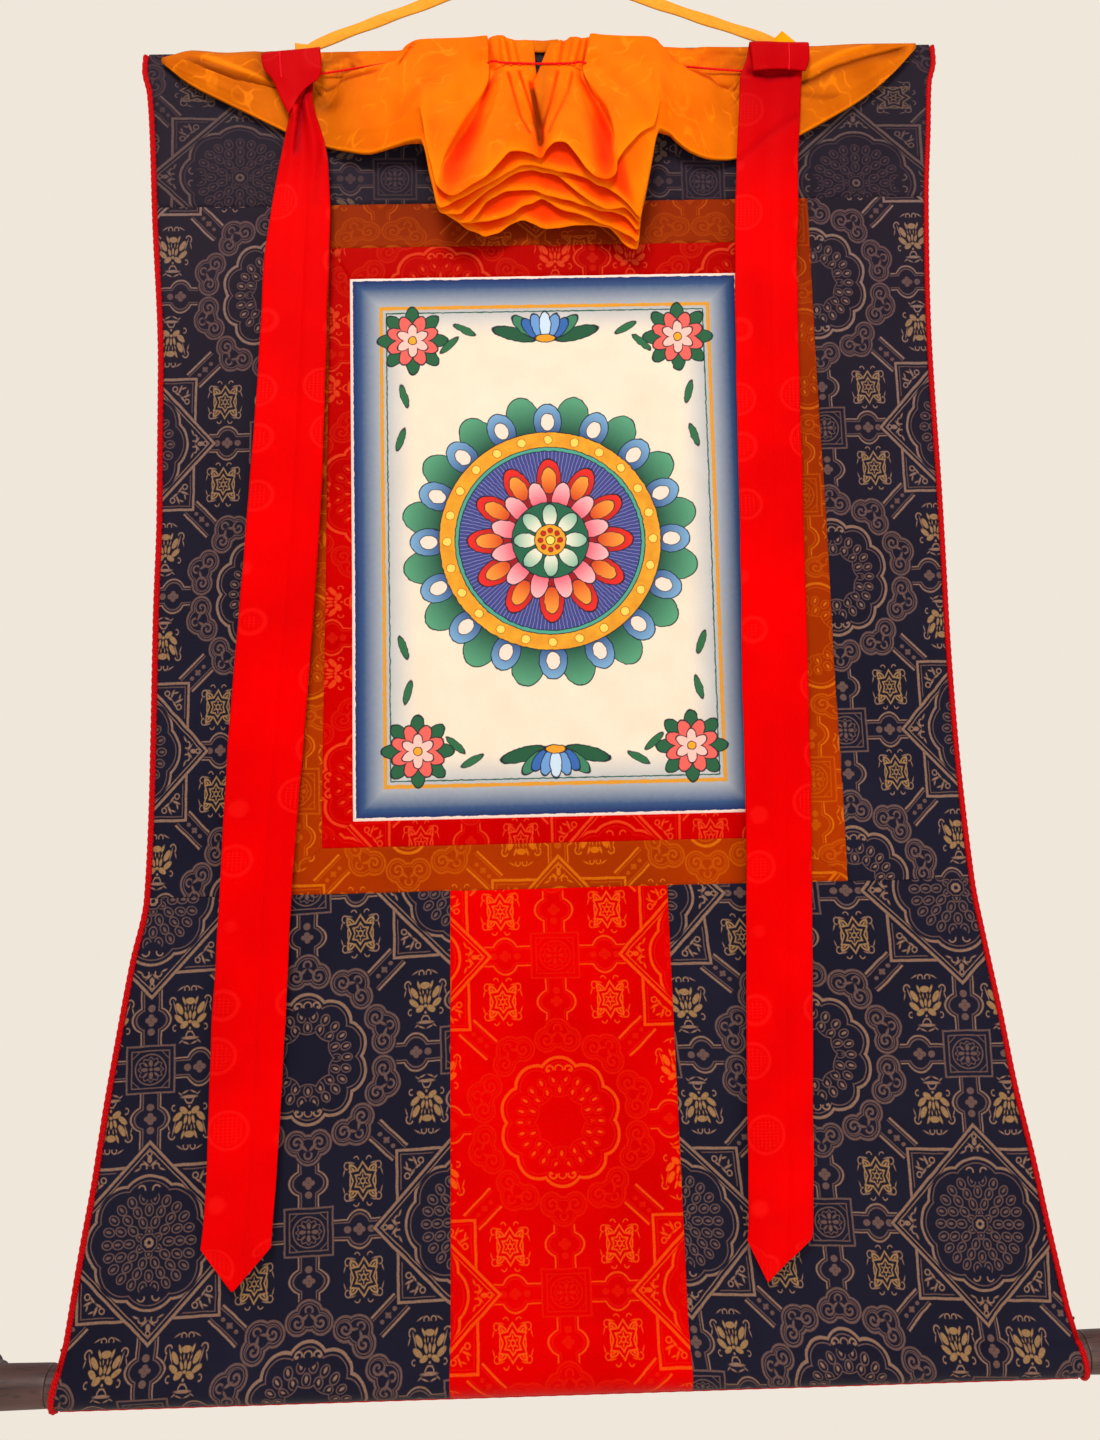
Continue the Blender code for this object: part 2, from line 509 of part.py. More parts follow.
def rim_at(z, side):
    """Where the rim stands at a height, on a smooth curve through the table."""
    z = min(max(z, RIM[-1].z), RIM[0].z)
    index = 0
    while index < len(RIM) - 2 and z < RIM[index + 1].z:
        index += 1

    def slope(middle):
        high, low = RIM[max(middle - 1, 0)], RIM[min(middle + 1, len(RIM) - 1)]
        return (getattr(low, side) - getattr(high, side)) / (low.z - high.z)

    upper, lower = RIM[index], RIM[index + 1]
    span = lower.z - upper.z
    return hermite(getattr(upper, side), getattr(lower, side),
                   slope(index) * span, slope(index + 1) * span, (z - upper.z) / span)


def wave(x, z):
    """How far the hung cloth stands back at a place."""
    fall = (WAVE_TOP - z) / (WAVE_TOP - WAVE_FOOT)
    if not 0.0 < fall < 1.0:
        return 0.0
    swell = math.sin(math.pi * fall) ** 2
    return swell * sum(row.height * math.sin(row.across * x + row.down * z + row.start) for row in WAVES)


def hung(x, z):
    """Point on the middle layer of the cloth."""
    return Vector((x, wave(x, z) + SHEET / 2, z))


def smooth_route(route, steps):
    """Evenly numbered points on a smooth curve through a route."""
    points = []
    for step in range(steps + 1):
        place = step / steps * (len(route) - 1)
        index = min(int(place), len(route) - 2)
        before, start = route[max(index - 1, 0)], route[index]
        end, after = route[index + 1], route[min(index + 2, len(route) - 1)]
        points.append(hermite(start, end, (end - before) / 2, (after - start) / 2, place - index))
    return points


def frame_corners(frame):
    """Corners of a frame as x and height, clockwise from the upper left."""
    return (Vector((-frame.half_top, frame.top)), Vector((frame.half_top, frame.top)),
            Vector((frame.half_bottom, frame.bottom)), Vector((-frame.half_bottom, frame.bottom)))


def four_sided(corners):
    """Placing function of a flat panel with straight seams, clear of its neighbours by half a gap."""
    upper_left, upper_right, lower_right, lower_left = corners
    width = ((upper_right - upper_left).length + (lower_right - lower_left).length) / 2
    height = ((lower_left - upper_left).length + (lower_right - upper_right).length) / 2
    side_margin = SIDE_MARGIN * SEAM_GAP / width
    end_margin = SIDE_MARGIN * SEAM_GAP / height

    def place(across, down):
        across = side_margin + across * (1 - 2 * side_margin)
        down = end_margin + down * (1 - 2 * end_margin)
        upper = upper_left.lerp(upper_right, across)
        lower = lower_left.lerp(lower_right, across)
        spot = upper.lerp(lower, down)
        return hung(spot.x, spot.y)

    return place, (max(1, round(width / COLUMN_STEP)), max(1, round(height / COLUMN_STEP)))


def make_picture(collection):
    place, size = four_sided(frame_corners(PICTURE))
    sheet("picture", size, place, CANVAS, painted_canvas(), collection)


def make_border(name, outer, inner, material, collection):
    """Four mitred strips between two frames."""
    out, inn = frame_corners(outer), frame_corners(inner)
    strips = {
        "top": (out[0], out[1], inn[1], inn[0]),
        "bottom": (inn[3], inn[2], out[2], out[3]),
        "left": (out[0], inn[0], inn[3], out[3]),
        "right": (inn[1], out[1], out[2], inn[2]),
    }
    for side, corners in strips.items():
        place, size = four_sided(corners)
        sheet(f"{name}_{side}", size, place, SHEET, material, collection)


def rows_between(top, bottom, count):
    """Heights of the seams and rows of a panel, half a gap inside its seams."""
    top, bottom = top - SEAM_GAP / 2, bottom + SEAM_GAP / 2
    return [top + (bottom - top) * row / count for row in range(count + 1)]


def side_heights():
    return rows_between(SEAM_HIGH, SEAM_LOW, SIDE_ROWS)


def lower_heights():
    return rows_between(SEAM_LOW, POCKET_TOP - SEAM_GAP / 2, LOWER_ROWS)


def edge_margin():
    """From the rim to the edge of a panel beside the piping."""
    return 2 * PIPING_RADIUS + PIPING_GAP


def make_side(side, collection):
    """Dark strip beside the frame, from its seam out to the piping."""
    sign = -1 if side == "left" else 1
    heights = side_heights()

    def place(across, down):
        z = heights[round(down * SIDE_ROWS)]
        share = (z - SEAM_HIGH) / (SEAM_LOW - SEAM_HIGH)
        seam = OUTER_FRAME.half_top + (OUTER_FRAME.half_bottom - OUTER_FRAME.half_top) * share
        inner = sign * (seam + SEAM_GAP / 2)
        left, right = sorted((inner, rim_at(z, side) - sign * edge_margin()))
        return hung(left + (right - left) * across, z)

    sheet(f"navy_side_{side}", (SIDE_COLUMNS, SIDE_ROWS), place, SHEET, navy_brocade(), collection)


def station_reader(stations):
    """Turn a list of stations into a function of the share of the rows passed."""
    def read(down):
        return stations[round(down * (len(stations) - 1))]
    return read


def hem_stations():
    """Section of the top strip: depth and height, from its seam up over the stick and down behind."""
    front = SHEET / 2
    centre_y, centre_z = front + HEM_ARC, HEM_TOP - SHEET / 2 - HEM_ARC
    stations = [(front, z) for z in (SEAM_HIGH + SEAM_GAP / 2, *HEM_HEIGHTS)]
    for step in range(HEM_ARC_STEPS + 1):
        turn = math.pi * step / HEM_ARC_STEPS
        stations.append((centre_y - HEM_ARC * math.cos(turn), centre_z + HEM_ARC * math.sin(turn)))
    stations.append((centre_y + HEM_ARC, HEM_END + HEM_TAPER))
    stations.append((front + SHEET + 2 * SEAM_GAP, HEM_END))
    return stations


def make_top(collection):
    """Dark top strip, hemmed round the stick."""
    stations = hem_stations()
    read = station_reader(stations)

    def place(across, down):
        y, z = read(1 - down)
        left, right = rim_at(z, "left") + edge_margin(), rim_at(z, "right") - edge_margin()
        return Vector((left + (right - left) * across, y, z))

    sheet("navy_top", (TOP_COLUMNS, len(stations) - 1), place, SHEET, navy_brocade(), collection)


def pocket_point(radius, degrees):
    """Depth and height on an arc round the rod, counted from its front, upwards."""
    turn = math.radians(degrees)
    return (ROD_AXIS.y - radius * math.cos(turn), ROD_AXIS.z + radius * math.sin(turn))


def pocket_stations():
    """Section of a lower panel below its stitch line: round the rod and up behind it."""
    stations = []
    for step in range(POCKET_ARC_STEPS + 1):
        degrees = POCKET_ARC_FIRST + (POCKET_ARC_LAST - POCKET_ARC_FIRST) * step / POCKET_ARC_STEPS
        stations.append(pocket_point(POCKET_ARC, degrees))
    stations.append((SHEET * 1.5 + 2 * SEAM_GAP, POCKET_TOP - POCKET_END_DROP))
    return stations


def door_edge(z):
    """Half width of the door at a height."""
    share = (z - SEAM_LOW) / (RIM[-1].z - SEAM_LOW)
    return DOOR_HALF_TOP + (DOOR_HALF_BOTTOM - DOOR_HALF_TOP) * share


def make_lower(name, left_edge, right_edge, columns, material, collection):
    """Lower panel between two edges, wrapped round the rod."""
    stations = [(None, z, z) for z in lower_heights()]
    lowest = POCKET_TOP
    for y, z in pocket_stations():
        lowest = min(lowest, z)
        stations.append((y, z, lowest))
    read = station_reader(stations)

    def place(across, down):
        y, z, edge_z = read(down)
        left, right = left_edge(edge_z), right_edge(edge_z)
        x = left + (right - left) * across
        return hung(x, z) if y is None else Vector((x, y, z))

    sheet(name, (columns, len(stations) - 1), place, SHEET, material, collection)


def make_lower_panels(collection):
    """Two dark skirts with the door between them."""
    half_gap = SEAM_GAP / 2
    make_lower("navy_skirt_left", lambda z: rim_at(z, "left") + edge_margin(),
               lambda z: -door_edge(z) - half_gap, SKIRT_COLUMNS, navy_brocade(), collection)
    make_lower("navy_skirt_right", lambda z: door_edge(z) + half_gap,
               lambda z: rim_at(z, "right") - edge_margin(), SKIRT_COLUMNS, navy_brocade(), collection)
    make_lower("door", lambda z: half_gap - door_edge(z),
               lambda z: door_edge(z) - half_gap, DOOR_COLUMNS, door_brocade(), collection)


def make_side_piping(side, collection):
    """Edge cord down one side and over the front of the pocket."""
    sign = -1 if side == "left" else 1
    points = []
    for z in (PIPING_TOP, *reversed(HEM_HEIGHTS), *side_heights(), *lower_heights()[1:]):
        x = rim_at(z, side) - sign * PIPING_RADIUS
        points.append(Vector((x, hung(x, z).y, z)))
    for step in range(PIPING_POCKET_STEPS + 1):
        degrees = POCKET_ARC_FIRST + (POCKET_ARC_LAST - POCKET_ARC_FIRST) * step / POCKET_ARC_STEPS
        y, z = pocket_point(POCKET_ARC + PIPING_STAND, degrees)
        points.append(Vector((rim_at(z, side) - sign * PIPING_RADIUS, y, z)))
    cord(f"piping_{side}", points, PIPING_RADIUS, red_cord(), collection)


def make_foot_piping(collection):
    """Fine cord along the lowest edge, between the side cords."""
    z = ROD_AXIS.z - POCKET_ARC - SHEET / 2 - SEAM_GAP - FOOT_PIPING_RADIUS
    left, right = rim_at(z, "left") + edge_margin(), rim_at(z, "right") - edge_margin()
    points = [Vector((left + (right - left) * step / FOOT_PIPING_STEPS, ROD_AXIS.y, z))
              for step in range(FOOT_PIPING_STEPS + 1)]
    cord("piping_bottom", points, FOOT_PIPING_RADIUS, red_cord(), collection)


def make_stick(collection):
    """Slat in the top hem."""
    mesh = bpy.data.meshes.new("top_stick")
    block = bmesh.new()
    bmesh.ops.create_cube(block, size=1.0)
    bmesh.ops.scale(block, vec=STICK_SIZE, verts=block.verts)
    block.to_mesh(mesh)
    block.free()
    part = place_object("top_stick", mesh, plain_wood(), collection)
    centre_z = HEM_TOP - SHEET - 2 * SEAM_GAP - STICK_SIZE.z / 2
    part.location = (STICK_MIDDLE, SHEET / 2 + HEM_ARC, centre_z)
    edge = part.modifiers.new("Round", "BEVEL")
    edge.width = STICK_EDGE
    edge.segments = STICK_EDGE_STEPS
    edge.limit_method = "ANGLE"


def make_rod(collection):
    """Plain rod in the bottom pocket."""
    mesh = bpy.data.meshes.new("bottom_rod")
    bar = bmesh.new()
    bmesh.ops.create_cone(bar, cap_ends=True, segments=ROD_SIDES, radius1=ROD_RADIUS, radius2=ROD_RADIUS,
                          depth=2 * ROD_HALF)
    bar.to_mesh(mesh)
    bar.free()
    mesh.shade_smooth()
    mesh.set_sharp_from_angle(angle=math.radians(ROD_SHARP))
    part = place_object("bottom_rod", mesh, turned_wood(), collection)
    part.location = ROD_AXIS
    part.rotation_euler = (0.0, math.radians(90), 0.0)


def make_knob(side, collection):
    """Turned end of the rod: a neck, a bead and a ball with two grooves."""
    sign = -1 if side == "left" else 1
    name = f"knob_{side}"
    mesh = bpy.data.meshes.new(name)
    outline = bmesh.new()
    verts = [outline.verts.new((row.radius, 0.0, row.out)) for row in KNOB]
    for upper, lower in zip(verts, verts[1:]):
        outline.edges.new((upper, lower))
    outline.to_mesh(mesh)
    outline.free()
    part = place_object(name, mesh, turned_wood(), collection)
    part.location = ROD_AXIS + Vector((sign * (ROD_HALF + SEAM_GAP), 0.0, 0.0))
    part.rotation_euler = (0.0, math.radians(sign * 90), 0.0)
    turn = part.modifiers.new("Turn", "SCREW")
    turn.steps = KNOB_STEPS
    turn.render_steps = KNOB_STEPS
    turn.use_merge_vertices = True
    turn.merge_threshold = KNOB_WELD
    turn.use_smooth_shade = True


def make_streamer(side, bands, tip, collection):
    """Ribbon in one strip: a short flap in front, folded over into the long tail with a slanted point."""
    def place(across, down):
        row = down * (len(bands) - 1 + TIP_ROWS)
        band = bands[min(round(row), len(bands) - 1)]
        beyond = max(0.0, row - (len(bands) - 1)) / TIP_ROWS
        slant = across / tip.share if across < tip.share else (1 - across) / (1 - tip.share)
        z = band.z - tip.drop * slant * beyond
        crease = band.pleat * math.sin(2 * math.pi * across) ** 2
        return Vector((band.left + (band.right - band.left) * across, band.y - crease, z))

    rows = len(bands) - 1 + TIP_ROWS
    sheet(f"streamer_{side}", (STREAMER_COLUMNS, rows), place, RIBBON, red_silk(), collection)


def silk_folds_behind(line):
    """Depths and heights behind the front layer where the silk is gathered."""
    pitch = (LAST_LIP_Y - line.lip_y) / 3
    lips = (line.lip2, line.lip3, line.lip4, line.lip5)
    section = []
    for order, lip in enumerate(lips):
        y = line.lip_y + pitch * order
        section.append((y, lip))
        section.append((y + TURN_SHARES[0] * pitch, lip))
        if order < len(lips) - 1:
            turn = max(lip, lips[order + 1]) + TURN_RISE
            section.append((y + TURN_SHARES[1] * pitch, turn))
            section.append((y + TURN_SHARES[2] * pitch, turn))
    section.append((LAST_LIP_Y + LAST_BACK, line.lip5 + LAST_RISE))
    return section


def silk_plain_behind(line):
    """Depths and heights of the single layer that returns behind a wing."""
    turn = max(RETURN_TURN, RETURN_TURN_SHARE * (RETURN_Y - line.lip_y))
    ceiling = line.pocket or line.fold
    rise = RETURN_SHARE * (ceiling - line.lip2)
    section = [(line.lip_y, line.lip2), (line.lip_y + turn, line.lip2)]
    for step in range(1, RETURN_ROWS - 1):
        share = step / (RETURN_ROWS - 2)
        y = line.lip_y + turn + (RETURN_Y - line.lip_y - turn) * share
        section.append((y, line.lip2 + rise * share))
    return section


def silk_section(line):
    """Depth and height down one line of the silk: edge, tuck, front, and the layers behind."""
    section = [(line.top_y, line.top)]
    if line.pocket:
        section.append((STRIP_Y, line.pocket))
        section.append((line.fold_y, line.fold))
        section.append((line.fold_y - CREST_FORWARD, line.fold - CREST_DROP))
    else:
        for share in NECK_SHARES:
            section.append((line.fold_y, line.top + (line.fold - line.top) * share))
    start_y, start = section[-1]
    tucked = line.lip1 < FLAT
    foot = line.lip1 if tucked else start + (line.lip2 - start) * PLAIN_SHARES[0]
    depths = [start_y + (line.mid_y - start_y) * share for share in UPPER_DEPTHS]
    depths += [line.mid_y + (line.belly_y - line.mid_y) * share for share in LOWER_DEPTHS]
    for share, y in zip(FRONT_SHARES, depths):
        section.append((y, start + (foot - start) * share))
    section.append((line.belly_y, foot))
    back = line.lip_y - line.belly_y
    if tucked:
        turn = max(line.lip1, line.lip2) + FIRST_RISE
        section.append((line.belly_y + TURN_SHARES[0] * back, line.lip1))
        section.append((line.belly_y + TURN_SHARES[1] * back, turn))
        section.append((line.belly_y + TURN_SHARES[2] * back, turn))
    else:
        for share, depth in zip(PLAIN_SHARES[1:], FOOT_DEPTHS):
            section.append((line.belly_y + depth * back, start + (line.lip2 - start) * share))
    gathered = silk_folds_behind(line) if line.gather else None
    return section + (gathered or silk_plain_behind(line))


def make_silk(collection):
    """Silk cover in one cloth, pleated and tied in the middle."""
    sections = [silk_section(line) for line in SILK_LINES]
    columns, rows = len(SILK_LINES) - 1, len(sections[0]) - 1

    def place(across, down):
        index = round(across * columns)
        line = SILK_LINES[index]
        y, z = sections[index][round(down * rows)]
        share = min(max((SPREAD_TOP - z) / (SPREAD_TOP - SPREAD_FOOT), 0.0), 1.0) ** SPREAD_POWER
        return Vector((line.at_top + (line.at_low - line.at_top) * share, y, z))

    sheet("silk_cover", (columns, rows), place, SILK, orange_silk(), collection)


def make_tie(collection):
    """Cord that holds the gathered silk, over the pleats and through the tucks."""
    cord("tie_cord", smooth_route(TIE_ROUTE, TIE_STEPS), TIE_RADIUS, red_cord(), collection)


def make_tape(collection):
    """Flat tape from the back of the hem up to the hanging point, turned to lie flat over it."""
    points = smooth_route(TAPE_ROUTE, TAPE_STEPS)

    def place(across, down):
        index = round(down * TAPE_STEPS)
        before, after = points[max(index - 1, 0)], points[min(index + 1, TAPE_STEPS)]
        run = (after - before).normalized()
        turn = math.pi / 2 * max(0.0, 1 - abs(points[index].x) / TAPE_TURN_WITHIN) ** 2
        flat = run.cross(Vector((0.0, 1.0, 0.0))).normalized()
        width = flat * math.cos(turn) + Vector((0.0, 1.0, 0.0)) * math.sin(turn)
        return points[index] + width * TAPE_WIDTH * (across - 0.5)

    sheet("hanging_tape", (1, TAPE_STEPS), place, TAPE_THICKNESS, orange_tape(), collection)


def main():
    clear_scene()
    collection = part_collection()
    make_picture(collection)
    make_border("red_border", INNER_FRAME, PICTURE, red_brocade(), collection)
    make_border("orange_border", OUTER_FRAME, INNER_FRAME, orange_brocade(), collection)
    make_top(collection)
    make_side("left", collection)
    make_side("right", collection)
    make_lower_panels(collection)
    make_side_piping("left", collection)
    make_side_piping("right", collection)
    make_foot_piping(collection)
    make_stick(collection)
    make_rod(collection)
    make_knob("left", collection)
    make_knob("right", collection)
    make_silk(collection)
    make_streamer("left", STREAMER_LEFT, TIP_LEFT, collection)
    make_streamer("right", STREAMER_RIGHT, TIP_RIGHT, collection)
    make_tie(collection)
    make_tape(collection)


main()
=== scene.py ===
"""Looks of the thangka scroll painting: finer cloth, silk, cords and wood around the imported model."""

import math
from collections import namedtuple
from functools import reduce

import bpy
import numpy as np
from mathutils import Matrix, Vector, noise


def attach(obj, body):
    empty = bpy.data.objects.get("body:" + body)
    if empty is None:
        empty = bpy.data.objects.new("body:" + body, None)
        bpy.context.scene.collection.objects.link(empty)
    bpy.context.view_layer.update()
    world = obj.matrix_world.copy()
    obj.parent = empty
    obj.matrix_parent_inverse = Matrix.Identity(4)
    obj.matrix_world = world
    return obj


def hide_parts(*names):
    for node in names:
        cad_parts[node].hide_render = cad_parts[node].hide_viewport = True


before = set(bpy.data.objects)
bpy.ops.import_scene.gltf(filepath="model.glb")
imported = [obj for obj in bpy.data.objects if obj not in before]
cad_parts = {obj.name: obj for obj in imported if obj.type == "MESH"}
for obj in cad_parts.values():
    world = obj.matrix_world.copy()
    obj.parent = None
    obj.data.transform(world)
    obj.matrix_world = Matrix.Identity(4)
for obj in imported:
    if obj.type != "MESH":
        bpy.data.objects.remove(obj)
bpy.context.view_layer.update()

# Units in a metre
MM = 1000.0
TENTHS = 10000.0

# Camera, fitted to the photograph
CAMERA_PLACE = Vector((-0.0166, -0.8024, -0.6780))
CAMERA_PITCH = math.radians(5.23)
CAMERA_YAW = math.radians(0.93)
CAMERA_ROLL = math.radians(-1.39)
CAMERA_LENS = 27.05


def in_metres(rows):
    """Rows of tenths of a millimetre in metres."""
    return tuple(tuple(value / TENTHS for value in row) for row in rows)


# The model's own measures, repeated from its source. Its long tables are in tenths of a millimetre:
# the rim as height, left and right; the knob as distance out and radius
SHEET = 0.0012
HEM_TOP = -0.0700
SEAM_HIGH = -0.1990
SEAM_LOW = -0.7285
POCKET_TOP = -1.0360
Frame = namedtuple("Frame", "top bottom half_top half_bottom")
OUTER_FRAME = Frame(SEAM_HIGH, SEAM_LOW, 0.2075, 0.2125)
INNER_FRAME = Frame(-0.2340, -0.6955, 0.1650, 0.1730)
PICTURE = Frame(-0.2590, -0.6765, 0.1500, 0.1500)
DOOR_HALF_TOP = 0.0800
DOOR_HALF_BOTTOM = 0.0850
RIM = np.array((
    (-700, -3100, 3150), (-860, -3112, 3156), (-1050, -3073, 3113), (-1450, -3046, 3082),
    (-2000, -3026, 3036), (-3300, -2968, 2993), (-4400, -2973, 3000), (-5200, -2995, 3000),
    (-6100, -3002, 3015), (-7285, -3041, 3072), (-7750, -3137, 3140), (-8300, -3231, 3232),
    (-8780, -3311, 3304), (-9300, -3389, 3402), (-9740, -3467, 3474), (-10400, -3572, 3588),
    (-10830, -3640, 3660),
)) / TENTHS
# Beside a seam: how far cloth falls back and over what width, and the height, reach and pitch of its puckers
SEAM_FALL = 0.0009
SEAM_WIDTH = 0.0026
PUCKER = 0.0005
PUCKER_REACH = 0.007
PUCKER_PITCH = 95
# Undulations of the hung cloth: height, turns across and down, start
WAVES = ((0.0022, 15.0, 0.0, 0.8), (0.0013, 33.0, 6.0, 2.0), (0.0011, 5.0, 21.0, 0.0))
WAVE_TOP = -0.255
WAVE_FOOT = -1.030
HEM_ARC = 0.00455
HEM_END = -0.1010
# Half the wall of a hem or a pocket
HALF_WALL = 0.00075
ROD_RADIUS = 0.0135
ROD_Y = 0.0040
ROD_Z = -1.0665
ROD_HALF = 0.3655
POCKET_ARC = ROD_RADIUS + 0.0015
POCKET_START = 55.0
POCKET_TURN = 290.0
PIPING_RADIUS = 0.0021
PIPING_LOOK = {"left": 0.0022, "right": 0.0020}
PIPING_INWARD = 0.0003
PIPING_TOP = -0.0740
BOTTOM_RADIUS = 0.0010
PANEL_MARGIN = 0.0044
KNOB_GAP = 0.0003
KNOB = np.array((
    (720, 0), (712, 85), (680, 158), (620, 206), (560, 226), (512, 228), (502, 219), (492, 226), (474, 224),
    (464, 214), (454, 219), (430, 210), (418, 176), (390, 170), (362, 160), (350, 146), (180, 143),
    (0, 139), (0, 0),
)) / TENTHS
# Ribbons: left end x and height, right end x and height, depth and pleat of each row, from the flap's hem
# up over the hem's top and down the front, then where the point lies across and how far it hangs down
STREAMERS = {
    "left": (np.array((
        (-1934, -1337, -1712, -1060, -138, 0), (-1990, -1214, -1690, -1015, -140, 6),
        (-2062, -1045, -1680, -975, -140, 10), (-2128, -955, -1680, -900, -138, 6),
        (-2148, -850, -1690, -800, -132, 2), (-2146, -812, -1694, -770, -104, 0),
        (-2130, -850, -1706, -815, -66, 0), (-2098, -920, -1735, -900, -86, 4),
        (-2030, -1040, -1756, -1020, -96, 16), (-1975, -1180, -1760, -1180, -100, 30),
        (-1940, -1320, -1738, -1300, -102, 40), (-1962, -1446, -1695, -1440, -102, 36),
        (-1993, -1608, -1655, -1600, -100, 28), (-2025, -1760, -1637, -1760, -96, 20),
        (-2069, -2010, -1630, -2010, -90, 14), (-2135, -2500, -1642, -2500, -88, 8),
        (-2165, -3100, -1664, -3100, -90, 6), (-2240, -4200, -1702, -4200, -94, 8),
        (-2310, -5110, -1760, -5110, -98, 6), (-2400, -6220, -1850, -6220, -94, 8),
        (-2450, -7170, -1930, -7170, -90, 6), (-2510, -8300, -1990, -8300, -94, 7),
        (-2550, -9400, -2060, -9400, -88, 6), (-2580, -9730, -2090, -9730, -84, 6),
    )) / TENTHS, 0.45, 0.0300),
    "right": (np.array((
        (1662, -1030, 2072, -1036, -136, 0), (1656, -910, 2106, -930, -138, 8),
        (1648, -800, 2106, -815, -132, 4), (1650, -770, 2102, -780, -104, 0),
        (1642, -820, 2085, -830, -66, 0), (1625, -900, 2070, -905, -84, 0),
        (1590, -985, 2060, -1000, -92, 2), (1568, -1040, 2052, -1060, -94, 4),
        (1553, -1240, 2034, -1260, -96, 6), (1535, -1480, 2015, -1480, -96, 8),
        (1512, -1760, 1988, -1760, -92, 8), (1492, -2100, 1978, -2100, -88, 7),
        (1470, -2530, 1950, -2530, -86, 6), (1440, -3650, 1920, -3650, -90, 7),
        (1420, -4810, 1900, -4810, -94, 6), (1390, -5940, 1880, -5940, -98, 8),
        (1380, -6760, 1860, -6760, -94, 6), (1330, -8110, 1810, -8110, -90, 7),
        (1305, -8900, 1776, -8900, -90, 6), (1280, -9710, 1740, -9710, -86, 6),
        (1273, -9780, 1728, -9780, -84, 6),
    )) / TENTHS, 0.28, 0.0290),
}
# How far the flap's hem bows, and creases pressed into the ribbons as in the silk's table further on, with
# its painted shade
FLAP_BOW = {"left": 0.0050, "right": 0.0014}
RIBBON_CREASES = {
    "left": ((((-180.0, -108.0), (-186.0, -122.0), (-188.0, -140.0), (-190.5, -160.0)), 7.0, 3.0, 0.55, -1),
             (((-168.0, -158.0), (-171.0, -176.0), (-174.0, -205.0)), 5.0, 0.8, 0.12, 0)),
    "right": ((((199.0, -139.0), (176.0, -154.0), (151.0, -176.0)), 6.0, 0.9, 0.12, 0),
              (((166.0, -101.0), (178.0, -105.0), (196.0, -103.0)), 6.0, 1.4, 0.45, 0)),
}

# Thickness of each cloth that is not brocade
CANVAS = 0.0010
TAPE = 0.0010
RIBBON = 0.0009
SILK = 0.0007
TUCK = 0.0008

